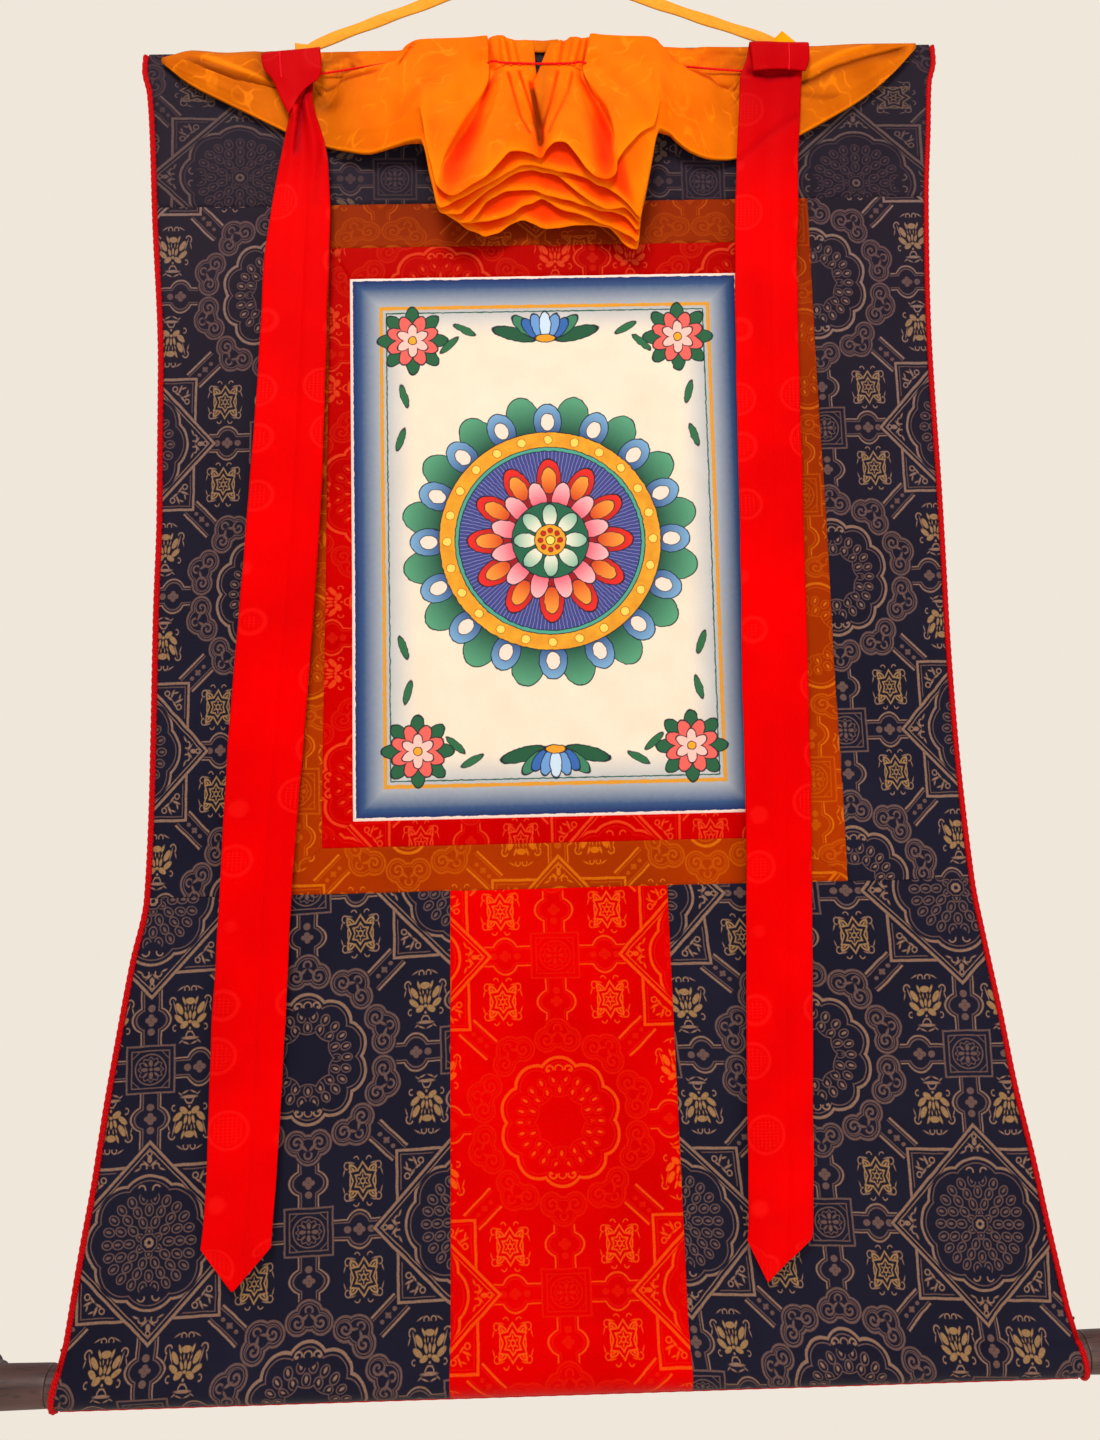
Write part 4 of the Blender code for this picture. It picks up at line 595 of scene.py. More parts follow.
def cloud_medallion(x, z):
    """Scalloped ring full of petals, with a cloud head outside each lobe."""
    edge, head, reach = scallops(x * 1.08, z * 0.97, 10, 28.2, 14.8)
    heads = marks(disc, head, (59.4, 0.0, 10.4), (54.8, 8.4, 8.8))
    curls = least(spiral(head, 54.6, 8.2, 3.9, 0.85, 5.2), hook(head, 62.4, 0.0, 2.6, 0.70, 61.0, 1.0, 0.0),
                  marks(leaf, head, (57.6, 3.4, 2.3, 3.4, 1.0), (49.8, 2.4, 0.9, 2.6, 0.9)))
    lines, leaves = lace(x, z, reach)
    top = Spot(absolute(x), absolute(z))
    clear = 7.0 - top.away(0.0, 35.4)
    top_curls = least(hook(top, 6.1, 36.2, 2.3, 0.62, 34.8, 0.35, 0.94),
                      hook(top, 0.0, 36.2, 2.6, 0.45, 35.2, 0.0, 1.0), disc(top, 7.0, 35.4, 0.8))
    dim = least(line(heads + 0.85, 0.80), line(heads + 2.9, 0.36), most(curls, heads + 3.5),
                line(edge + 3.1, 0.40), most(lines, edge + 4.2, clear))
    gold = least(most(line(edge, 1.00), 24.0 - reach), top_curls, most(leaves, edge + 5.4, clear))
    return dim, gold, edge, heads


def star_medallion(x, z):
    """Diamond on a square round an eight-lobed medallion, from distances to its centre."""
    slope = (x + z) * DIAGONAL
    side = most(x, z)
    edge, _, reach = scallops(x, z, 8, 22.4, 20.2)
    star = least(line(slope - 45.3, 0.95), most(line(side - 48.3, 0.9), 46.2 - slope),
                 most(line(edge, 0.85), slope - 41.2), most(line(slope - 42.3, 0.36), 0.0 - edge))
    thin = least(most(line(side - 45.6, 0.36), 48.6 - slope), most(line(edge + 3.1, 0.36), slope - 40.0))
    spot = Spot(x, z)
    swap = Spot(side, least(x, z))
    tips = marks(leaf, swap, (53.2, 0.0, 0.0, 2.4, 1.6), (50.4, 2.6, 0.9, 2.4, 0.7),
                 (46.6, 8.4, 2.0, 2.0, 0.6))
    tips = least(tips, hook(swap, 48.0, 4.4, 2.3, 0.5, 46.0, 1.0, -0.3), ring(swap, 56.8, 0.0, 1.5, 0.45))
    sprigs = marks(leaf, swap, (40.8, 35.8, 0.4, 3.0, 0.8), (37.6, 33.6, 2.2, 2.4, 0.7),
                   (41.6, 38.6, 1.3, 1.8, 0.6))
    sprigs = least(sprigs, hook(swap, 41.2, 31.6, 1.8, 0.45, 29.6, 0.3, 0.6))
    lines, leaves = lace(x, z, reach)
    clear = 7.2 - spot.away(0.0, 34.4)
    inner = most(least(lines, leaves), edge + 4.2, clear)
    curls = hook(spot, 5.0, 34.2, 2.4, 0.5, 30.6, -0.3, 0.94)
    return least(thin, inner), least(star, tips, sprigs, curls), slope, side


def small_square(a, b):
    """Square, its bands' outlines and their dots: a points to a cloud medallion, b to a star medallion."""
    spot = Spot(a, b)
    side = most(a, b)
    reach = spot.away(0.0, 0.0)
    swap = Spot(side, least(a, b))
    rose = least(marks(leaf, swap, (4.2, 0.0, 0.0, 2.3, 1.3), (3.6, 3.6, 0.785, 1.8, 0.8)),
                 disc(spot, 0.0, 0.0, 1.1), line(reach - 7.6 - 0.7 * cosine(angle(a, b) * 12.0), 0.40))
    square = least(line(side - 15.9, 0.60), line(side - 12.6, 0.42), line(reach - 10.2, 0.45), rose,
                   most(line(a + b - 19.6, 0.4), side - 12.4))
    out_a = least(b - 7.2, leaf(spot, 32.5, 0.0, 0.0, 9.8, 13.4))
    out_b = least(a - 7.2, leaf(spot, 0.0, 33.5, 1.571, 9.8, 13.4))
    dots = marks(disc, spot, (24.6, 0.0, 2.4), (0.0, 25.6, 2.4), (0.0, 41.4, 2.4), (34.6, 0.0, 2.0),
                 (30.4, 0.0, 2.0), (32.5, 2.3, 1.8), (0.0, 35.6, 2.0), (0.0, 31.4, 2.0), (2.3, 33.5, 1.8))
    return square, out_a, out_b, dots


def lotus(x, z):
    """Petals and scrolls of a flower: x from its middle line, z up."""
    spot = Spot(absolute(x), z)
    petals = marks(leaf, spot, (0.0, 9.6, 0.0, 4.2, 2.3), (9.1, 4.6, 0.94, 4.5, 2.2),
                   (9.8, -2.4, 0.59, 4.4, 2.1), (4.9, -6.4, -0.46, 3.7, 2.2), (3.3, -0.2, 1.30, 2.8, 1.3),
                   (0.0, 0.4, 1.571, 2.8, 1.1), (5.4, 9.8, 1.15, 2.8, 1.0), (0.0, -4.4, 0.0, 1.5, 1.1),
                   (1.7, 5.2, 1.50, 1.4, 0.45), (4.2, 4.6, 1.20, 1.4, 0.45))
    scrolls = marks(hook, spot, (3.0, 17.8, 2.1, 0.48, 16.8, 0.0, 1.0),
                    (14.8, 9.8, 2.8, 0.55, 15.8, 0.6, 0.8), (12.8, -8.4, 1.9, 0.45, 12.0, 1.0, 0.0),
                    (0.0, -14.8, 3.6, 0.5, -14.6, 0.0, 1.0))
    stems = marks(leaf, spot, (8.0, 18.6, -0.45, 2.6, 0.5), (12.9, 5.6, 1.25, 4.2, 0.55),
                  (17.2, 4.8, 1.9, 2.2, 0.5), (0.0, -15.6, 0.0, 6.6, 1.1), (3.6, -18.8, 0.35, 2.6, 0.55),
                  (7.6, -17.8, -0.6, 1.6, 0.45))
    return petals, least(scrolls, stems, marks(disc, spot, (0.0, -9.0, 1.0), (1.8, -11.4, 0.7)))


def rosette(x, z):
    """Six-pointed flower with veins, and its four curled arms."""
    spot = Spot(absolute(x), absolute(z))
    sector, reach = folded(x, z, 6)
    star = sector.along(0.60, 0.80)
    outer = least(line(leaf(spot, 7.8, 7.4, 0.80, 4.0, 2.3), 0.55), leaf(spot, 8.2, 7.8, 0.80, 2.0, 0.7),
                  line(leaf(spot, 8.8, 1.2, 1.571, 3.4, 1.9), 0.50))
    body = least(line(star - 7.6, 0.60), line(star - 4.5, 0.50), line(reach - 1.9, 0.50),
                 marks(leaf, sector, (6.9, 0.0, 0.0, 1.2, 0.7), (3.6, 0.0, 0.0, 1.1, 0.5)),
                 most(outer, 7.6 - star))
    arms = least(marks(hook, spot, (13.0, 10.4, 2.4, 0.45, 15.0, 0.80, 0.60),
                       (5.4, 14.4, 2.1, 0.42, 13.4, -0.2, 0.98)),
                 marks(leaf, spot, (15.6, 6.2, 1.9, 2.2, 0.45), (9.6, 12.4, 0.2, 2.4, 0.5)))
    return body, arms


def bars(x, z):
    """Diagonal band between a cloud medallion and a corner of the star's square."""
    along = (x + z - 124.5) * DIAGONAL
    away = absolute((x - z + 6.0) * DIAGONAL)
    spot = Spot(along, away)
    ends = most(along - 2.4, -23.0 - along)
    dots = least(marks(disc, spot, (-4.4, 0.0, 1.5), (-16.4, 0.0, 1.5)),
                 marks(leaf, spot, (-10.4, 0.0, 0.0, 2.5, 1.3), (-10.4, 0.0, 1.571, 2.5, 1.3)))
    return most(line(away - 6.9, 0.75), ends), least(most(line(away - 4.8, 0.35), ends), dots)


def brocade(x, z):
    """Signed fields in millimetres, negative on the dim thread, on the bright thread and on the flowers."""
    x, z = pingpong(x, HALF_ACROSS), pingpong(z, HALF_DOWN)
    cloud_dim, cloud_bright, edge, heads = cloud_medallion(x, z)
    star_dim, star_bright, slope, side = star_medallion((HALF_ACROSS - x) * 1.043, (HALF_DOWN - z) * 0.958)
    pick = step(x * (1 / HALF_ACROSS) - z * (1 / HALF_DOWN))
    a = (HALF_DOWN - z) + ((HALF_ACROSS - x) - (HALF_DOWN - z)) * pick
    b = x + (z - x) * pick
    square, out_a, out_b, dots = small_square(a, b)
    cloud = least(heads, edge - 9.0)
    off_a = most(16.5 - a, 1.0 - cloud)
    off_b = most(16.5 - b, 47.0 - slope)
    band, inner_band = (
        least(most(line(out_a + inward, half), off_a), most(line(out_b + inward, half), off_b))
        for inward, half in ((0.5, 0.45), (2.3, 0.38)))
    dots = most(dots, 0.8 - cloud, 46.8 - slope)
    rails, spots = bars(x, z)
    clear = most(0.8 - cloud, 49.6 - side)
    star_dim = most(star_dim, least(slope - 46.0, most(side - 48.0, 0.0 - slope)))
    star_bright = most(star_bright, least(slope - 46.4, side - 49.3))
    petals, scrolls = lotus((x - 79.0) * 1.28, z - 35.5)
    body, arms = rosette((x - 36.0) * 1.26, z - 84.0)
    dim = least(cloud_dim, star_dim, square, inner_band, dots, most(spots, clear))
    gold = least(cloud_bright, star_bright, band, most(rails, clear), scrolls, arms)
    return dim, gold, least(petals, body)


def brocade_group():
    """Node group of the repeat: place on the cloth in metres to the three thread masks."""
    tree = bpy.data.node_groups.new("brocade_repeat", "ShaderNodeTree")
    tree.interface.new_socket("Place", in_out="INPUT", socket_type="NodeSocketVector")
    for name in ("Dim", "Gold", "Flower"):
        tree.interface.new_socket(name, in_out="OUTPUT", socket_type="NodeSocketFloat")
    Wire.tree = tree
    enter, leave = tree.nodes.new("NodeGroupInput"), tree.nodes.new("NodeGroupOutput")
    x, z = split(Wire(enter.outputs[0]))[:2]
    fields = brocade(x * MM, z * MM)
    for socket, field in zip(leave.inputs, fields):
        feed(socket, mask(field, 0.6))
    return tree


# ---- Materials ----

def srgb(red, green, blue):
    """Linear colour of an sRGB triple from 0 to 255."""
    return tuple(((value / 255 + 0.055) / 1.055) ** 2.4 if value > 10 else value / 3294.6
                 for value in (red, green, blue)) + (1.0,)


def new_material(name):
    """Principled material whose tree becomes the one being drawn."""
    material = bpy.data.materials.new(name)
    material.use_nodes = True
    Wire.tree = material.node_tree
    return material, material.node_tree.nodes["Principled BSDF"]


def split(place):
    """The three numbers of a place."""
    return [Wire(socket) for socket in draw("SeparateXYZ", place).outputs]


def scaled(wire, *scale):
    """A place with its three numbers multiplied."""
    return Wire(draw("VectorMath", wire, scale, operation="MULTIPLY").outputs[0])


def place_of(kind="UV"):
    """Coordinates of a piece."""
    return Wire(draw("TexCoord").outputs[kind])


def noisy(place, size, detail=2.0, rough=0.5):
    """Noise from 0 to 1 with features of about the given size in metres."""
    node = fill(draw("TexNoise"), Vector=place, Scale=1.0 / size, Detail=detail, Roughness=rough)
    return Wire(node.outputs["Fac"])


def ripple(place, pitch, direction):
    """Parallel threads a pitch apart, from 0 to 1."""
    node = fill(draw("TexWave", bands_direction=direction), Vector=place, Scale=WAVE_SCALE / pitch)
    return Wire(node.outputs["Fac"])


def span(value, low, high, to_low=0.0, to_high=1.0):
    """Map a range to another and clamp it."""
    return Wire(draw("MapRange", value, low, high, to_low, to_high).outputs[0])


def carried(name):
    """A value carried by the mesh's own points."""
    return Wire(draw("Attribute", attribute_name=name).outputs["Fac"])


def blend(share, low, high, kind="MIX"):
    """Mix of two colours."""
    node = draw("Mix", share, data_type="RGBA", blend_type=kind)
    feed(node.inputs[6], low)
    feed(node.inputs[7], high)
    return Wire(node.outputs[2])


def grey(value):
    """Colour of equal parts."""
    return Wire(draw("CombineColor", value, value, value).outputs[0])


def tinted(share, colour, value):
    """Colour made lighter or darker in part by a value."""
    return blend(share, colour, grey(value), "MULTIPLY")


def mottled(place, size, detail=3.0):
    """Soft clouds from 0 to 1."""
    return span(noisy(place, size, detail), 0.3, 0.7)


def weave(place, pitch):
    """Height of a plain weave from 0 to 1."""
    return ripple(place, pitch, "X") * 0.5 + ripple(place, pitch * 0.8, "Y") * 0.5


def soften(shader, level, tint, sheen):
    """Weak tinted gloss, so that dyed cloth keeps its colour."""
    tint = srgb(*tint)
    fill(shader, Specular_IOR_Level=level, Specular_Tint=tint, Sheen_Weight=sheen, Sheen_Tint=tint)


def finish(shader, colour, roughness, height, distance, strength):
    """Colour, roughness and fine relief of a shader."""
    bump = fill(draw("Bump"), Strength=strength, Distance=distance, Height=height)
    fill(shader, Base_Color=colour, Roughness=roughness, Normal=Wire(bump.outputs[0]))


Thread = namedtuple("Thread", "low high gloss dim_share gold_share")
# Ground, dim thread, bright thread and flowers, at the foot of the hanging and near its top. The top
# colours are painted shade: darker, as under the silk, and on the navy the threads duller and mauve
DOOR_COLOURS = ((210, 0, 0), (222, 26, 6), (234, 84, 14), (236, 92, 20))
THREADS = {
    "navy_brocade": Thread(((26, 26, 42), (110, 84, 78), (152, 118, 98), (166, 128, 86)),
                           ((34, 29, 40), (98, 74, 76), (142, 113, 105), (150, 118, 94)),
                           (120, 96, 100), 0.88, 0.92),
    "door_brocade": Thread(DOOR_COLOURS, DOOR_COLOURS, (255, 30, 10), 0.60, 0.85),
    "orange_brocade": Thread(((158, 48, 2), (190, 84, 8), (214, 112, 14), (214, 112, 14)),
                             ((132, 38, 6), (156, 58, 12), (174, 76, 20), (174, 76, 20)),
                             (230, 110, 30), 0.75, 0.90),
    "red_brocade": Thread(((188, 0, 0), (206, 26, 10), (228, 70, 28), (228, 70, 28)),
                          ((164, 2, 0), (190, 34, 16), (212, 68, 34), (212, 68, 34)),
                          (240, 40, 24), 0.60, 0.85),
}


def brocade_material(name, repeat, back=False):
    """Satin ground with figured threads. The back shows the same figure, duller."""
    thread = THREADS[name]
    material, shader = new_material(f"{name}_back" if back else f"{name}_cloth")
    place = place_of()
    shift = draw("VectorMath", grey(noisy(place, 0.012)), (THREAD_WANDER, THREAD_WANDER, 0.0), place,
                 operation="MULTIPLY_ADD")
    group = Wire.tree.nodes.new("ShaderNodeGroup")
    group.node_tree = repeat
    feed(group.inputs[0], Wire(shift.outputs[0]))
    warp, weft = ripple(place, 0.00042, "X"), ripple(place, 0.00036, "Y")
    cloud = noisy(place_of("Object"), 0.09, 3.0)
    dull = 0.45 if back else 1.0
    dim, gold, flower = (Wire(socket) * (share * dull) for socket, share in zip(
        group.outputs, (thread.dim_share, thread.gold_share, thread.gold_share)))
    worn = span(noisy(place, 0.0016), 0.35, 0.65, 0.72, 1.0)
    # Painted shade: colours shift from those at the foot to the darker ones near the top
    rise = span(split(place_of("Object"))[2], -0.60, -0.20)
    colour, *threads = (blend(rise, srgb(*low), srgb(*high)) for low, high in zip(thread.low, thread.high))
    colour = tinted(1.0, colour, span(cloud, 0.3, 0.7, 0.86, 1.14))
    colour = blend(dim * worn, colour, threads[0])
    bright = span(weft, 0.0, 1.0, 0.82, 1.0) * worn
    colour = blend(gold * bright, colour, threads[1])
    colour = blend(flower * bright, colour, threads[2])
    colour = tinted(0.16, colour, span(warp * weft, 0.0, 1.0, 0.55, 1.25))
    soften(shader, 0.12, thread.gloss, 0.02)
    finish(shader, colour, span(most(dim, gold, flower), 0.0, 1.0, 0.50, 0.64),
           warp * 0.5 + weft * 0.5, 0.00006, 0.5)
    return material


def silk_material(name, size, figured):
    """Damask silk: same-colour scrolls on a finely ribbed ground, with redder painted shade and highlights
    in folds.
    """
    material, shader = new_material(name)
    place = place_of()
    field = noisy(place, size, 1.0, 0.4)
    stroke = mask(line(field - 0.5, 0.020), 0.03) * span(noisy(place, size * 1.3, 1.0), 0.46, 0.60)
    weft = ripple(place, 0.00040, "Y")
    brown_shade_share, shade = carried("brown_painted_shade"), carried("shade")
    cloud = mottled(place_of("Object"), 0.035)
    # Painted shade: browner, darker silk out on the wings and in the listed shaded places
    colour = blend(brown_shade_share, blend(cloud, srgb(246, 100, 2), srgb(252, 116, 3)),
                   blend(cloud, srgb(190, 88, 4), srgb(212, 106, 8)))
    colour = blend(stroke * figured, colour, srgb(255, 140, 14))
    # Painted highlight along the rims of the folds, where the shade is below zero
    colour = blend(span(shade, 0.0, RIM_SHADE, 0.0, 0.6), colour, srgb(255, 138, 8))
    # Painted shade in the folds and slots: redder in the bunch, browner on the wings
    for low, high, shaded_bunched_colour, shaded_wing_colour in ((0.0, 0.55, (248, 76, 2), (150, 66, 6)),
                                     (0.45, 1.0, (232, 40, 2), (118, 48, 4))):
        colour = blend(span(shade, low, high), colour, blend(brown_shade_share, srgb(*shaded_bunched_colour), srgb(*shaded_wing_colour)))
    colour = tinted(0.12, colour, span(weft, 0.0, 1.0, 0.6, 1.2))
    soften(shader, 0.12, (255, 150, 30), 0.02)
    finish(shader, colour, span(stroke, 0.0, 1.0, 0.55, 0.42), weft + noisy(place, 0.0011) * 0.6,
           0.00005, 0.6)
    return material


def fret_material(name, base, figure, shadow):
    """Red ribbon silk with faint round frets and painted shade."""
    material, shader = new_material(name)
    place = place_of()
    cells = fill(draw("TexVoronoi"), Scale=22.0, Randomness=0.35, Vector=place)
    reach = Wire(cells.outputs["Distance"])
    bars_across, bars_along = (line(ripple(place, pitch, direction) - 0.5, 0.16) * 0.2
                               for pitch, direction in ((0.0046, "Y"), (0.0058, "X")))
    rings = least(line(reach - 0.30, 0.022), most(least(bars_across, bars_along), reach - 0.25))
    fret = mask(rings, 0.03)
    weft = ripple(place, 0.00045, "Y")
    colour = blend(mottled(place_of("Object"), 0.07), srgb(*shadow), srgb(*base))
    colour = blend(fret * 0.24, colour, srgb(*figure))
    # Painted shade: darker red where the points carry shade
    colour = blend(carried("shade"), colour, srgb(104, 0, 14))
    colour = tinted(0.14, colour, span(weft, 0.0, 1.0, 0.6, 1.2))
    soften(shader, 0.14, (255, 40, 30), 0.02)
    finish(shader, colour, span(fret, 0.0, 1.0, 0.56, 0.46), weft + noisy(place, 0.0012) * 0.5,
           0.00005, 0.6)
    return material


def thread_material(name, colour, dark, pitch):
    """Twisted or woven cord with lint."""
    material, shader = new_material(name)
    strands = ripple(place_of(), pitch, "DIAGONAL")
    lint = noisy(place_of("Object"), 0.0012, 3.0)
    soften(shader, 0.15, colour, 0.04)
    finish(shader, blend(strands * 0.7 + lint * 0.3, srgb(*dark), srgb(*colour)), 0.62,
           strands + lint * 0.5, 0.00012, 0.7)
    return material


def tape_material():
    """Orange woven tape with ribs both ways."""
    material, shader = new_material("orange_tape_woven")
    place = place_of()
    ribs, lengthwise = ripple(place, 0.0011, "Y"), ripple(place, 0.0009, "X")
    lint = noisy(place_of("Object"), 0.004, 3.0)
    soften(shader, 0.15, (255, 190, 90), 0.03)
    finish(shader, blend(ribs * 0.4 + lint * 0.6, srgb(222, 128, 22), srgb(250, 176, 62)), 0.58,
           ribs * 0.6 + lengthwise * 0.4, 0.00012, 0.7)
    return material


def wood_material(name, light, dark, gloss):
    """Turned hardwood: grain along the rod, pores and a thin polish."""
    material, shader = new_material(name)
    place = place_of("Object")
    grain, pores, figure = (noisy(scaled(place, along, across, across), 1.0, detail, rough)
                            for along, across, detail, rough in (
                                (6.0, 60.0, 5.0, 0.62), (90.0, 900.0, 2.0, 0.5), (14.0, 34.0, 3.0, 0.5)))
    colour = blend(span(grain * 0.6 + figure * 0.4, 0.34, 0.62), srgb(*dark), srgb(*light))
    colour = blend(span(pores, 0.56, 0.68, 0.0, 0.65), colour, srgb(*(value * 0.45 for value in dark)))
    fill(shader, Coat_Weight=0.12, Coat_Roughness=0.30)
    finish(shader, colour, span(grain, 0.3, 0.7, gloss, gloss + 0.16), grain + pores * 0.6, 0.00018, 0.6)
    return material


def canvas_back_material():
    """Back of the painted canvas: plain sized cotton."""
    material, shader = new_material("canvas_back")
    place = place_of()
    colour = blend(noisy(place, 0.02, 4.0), srgb(206, 192, 164), srgb(232, 220, 196))
    finish(shader, colour, 0.85, weave(place, 0.0007), 0.00010, 0.7)
    return material


# Painting, in millimetres. Corner blossoms: petals, turn, distance out, half length, half width and colour
CORNER_PETALS = ((8, 0.0, 17.0, 10.0, 5.4, (36, 92, 60)), (8, 0.393, 12.0, 8.6, 5.0, (226, 96, 88)),
                 (6, 0.0, 7.0, 6.0, 3.6, (246, 190, 180)))
# Leaves of the blossoms above and below the flower wheel: across, up, turn, half sizes and colour
SPRAY = ((24.0, -3.0, 0.25, 17.0, 5.2, (30, 84, 56)), (16.0, 3.0, 0.75, 12.0, 5.0, (58, 124, 92)),
         (11.5, 1.5, 0.95, 9.5, 4.6, (52, 98, 170)), (6.0, 3.5, 1.25, 10.0, 4.6, (104, 150, 206)),
         (0.0, 4.5, 1.571, 10.5, 4.4, (196, 216, 236)), (0.0, -6.5, 0.0, 8.0, 3.2, (226, 152, 36)))
# Scattered leaves: across, up and turn
SCATTERED = ((62.0, 166.0, 0.5), (109.0, 114.0, 1.3), (112.0, 80.0, 1.9), (74.0, 154.0, 2.4))


def petals(x, z, count, start, middle, length, width):
    """Ring of leaf-shaped petals: signed field and distance out."""
    sector, reach = folded(x, z, count, start)
    return leaf(sector, middle, 0.0, 0.0, length, width), reach


def painted_material():
    """Painted canvas with a plain flower wheel of lotus petals, symmetric both ways."""
    material, shader = new_material("painted_canvas_front")
    place = place_of()
    x, z = split(scaled(place, MM, MM, MM))[:2]
    hand = noisy(place, 0.004, 1.0) * 1.4 - 0.7
    x, z = absolute(x + hand), z + hand
    up = absolute(z)
    ink = srgb(22, 26, 40)

    def lay(colour, field, paint, outline=0.7, trim=ink):
        paint = srgb(*paint) if isinstance(paint, tuple) else paint
        colour = blend(mask(field, 0.5), colour, paint)
        return blend(mask(line(field, outline / 2), 0.4), colour, trim)

    def fade(value, low, high, start, end):
        return blend(span(value, low, high), srgb(*start), srgb(*end))

    edge = most(x - 147.6, up - 206.4)
    cream = blend(noisy(place, 0.03, 4.0), srgb(226, 206, 184), srgb(243, 228, 208))
    colour = blend(mask(0.0 - edge, 0.5), cream, srgb(240, 214, 204))
    sky = fade(edge, -42.0, 0.0, (120, 170, 206), (14, 36, 96))
    colour = blend(span(edge, -46.0, -6.0) * mask(edge, 0.5), colour, sky)
    inner = most(x - 126.0, up - 184.0)
    colour = blend(mask(line(inner, 1.4), 0.5), colour, srgb(214, 146, 40))
    colour = blend(mask(line(inner + 4.0, 0.5), 0.4), colour, srgb(40, 88, 70))
    corner_x, corner_z = x - 102.0, up - 158.0
    for *shape, paint in CORNER_PETALS:
        colour = lay(colour, petals(corner_x, corner_z, *shape)[0], paint)
    colour = lay(colour, Spot(corner_x, corner_z).away(0.0, 0.0) - 3.2, (232, 160, 40))
    for *shape, paint in SPRAY:
        colour = lay(colour, leaf(Spot(x, up - 165.0), *shape), paint)
    for row in SCATTERED:
        colour = lay(colour, leaf(Spot(x, up), *row, 9.0, 2.7), (44, 104, 66), 0.5)
    field, reach = petals(x, z, 16, 0.196, 96.0, 17.0, 12.6)
    colour = lay(colour, field, fade(reach, 82.0, 112.0, (20, 66, 52), (86, 156, 120)))
    field, reach = petals(x, z, 16, 0.0, 92.0, 14.0, 10.6)
    colour = lay(colour, field, fade(reach, 80.0, 106.0, (28, 56, 120), (120, 166, 206)))
    colour = lay(colour, field + 5.4, (236, 214, 200), 0.5)
    colour = lay(colour, reach - 84.0, blend(noisy(place, 0.01), srgb(206, 122, 24), srgb(240, 176, 44)))
    field, reach = petals(x, z, 24, 0.0, 78.0, 3.4, 3.4)
    colour = lay(colour, field, (246, 206, 92), 0.6, srgb(190, 96, 20))
    colour = lay(colour, reach - 72.0, (74, 160, 138))
    violet = blend(mask(line(sine(angle(x, z) * 72.0), 0.30), 0.2), srgb(60, 66, 132), srgb(122, 120, 176))
    colour = lay(colour, reach - 69.0, violet)
    field, reach = petals(x, z, 12, 0.0, 46.0, 17.0, 9.4)
    colour = lay(colour, field, fade(reach, 34.0, 62.0, (150, 14, 22), (226, 40, 32)))
    colour = lay(colour, field + 3.6, fade(reach, 36.0, 58.0, (206, 60, 20), (244, 160, 60)), 0.5)
    field, reach = petals(x, z, 12, 0.262, 34.0, 12.0, 6.6)
    colour = lay(colour, field, fade(reach, 26.0, 44.0, (226, 60, 96), (250, 176, 180)))
    colour = lay(colour, reach - 29.0, (34, 96, 70))
    field, reach = petals(x, z, 8, 0.0, 19.0, 9.0, 5.6)
    colour = lay(colour, field, fade(reach, 10.0, 28.0, (240, 232, 214), (120, 176, 150)))
    colour = lay(colour, reach - 12.0, (232, 158, 34))
    field, reach = petals(x, z, 8, 0.0, 7.4, 1.9, 1.9)
    colour = lay(colour, field, (196, 30, 26), 0.5)
    colour = lay(colour, reach - 3.4, (250, 214, 96))
    strokes = noisy(scaled(place, 1.0, 5.0, 1.0), 0.0016, 3.0)
    colour = tinted(0.22, colour, span(strokes, 0.3, 0.7, 0.7, 1.15))
    fill(shader, Specular_IOR_Level=0.25)
    finish(shader, colour, 0.78, weave(place, 0.0006) + strokes * 0.6, 0.00008, 0.6)
    return material


def make_materials():
    """Front and back material of each slot."""
    repeat = brocade_group()
    made = {name: (brocade_material(name, repeat), brocade_material(name, repeat, back=True))
            for name in THREADS}
    made["painted_canvas"] = (painted_material(), canvas_back_material())
    alike = {
        "orange_silk": silk_material("orange_silk_damask", 0.020, 0.45),
        "red_silk": fret_material("red_silk_damask", (232, 0, 2), (250, 34, 28), (212, 0, 2)),
        "yellow_silk": thread_material("yellow_silk_tuck", (255, 176, 8), (246, 150, 4), 0.0009),
        "bright_thread": thread_material("bright_red_thread", (255, 36, 56), (214, 6, 22), 0.0009),
        "red_cord": thread_material("red_cord_twist", (226, 20, 26), (140, 6, 10), 0.0012),
        "tie_cord": thread_material("tie_cord_silk", (255, 34, 34), (214, 8, 14), 0.0009),
        "orange_tape": tape_material(),
        "turned_wood": wood_material("turned_wood_grain", (88, 56, 52), (44, 27, 29), 0.42),
        "plain_wood": wood_material("plain_wood_grain", (196, 156, 108), (150, 110, 70), 0.60),
    }
    return made | {name: (material, material) for name, material in alike.items()}


# ---- Shapes ----

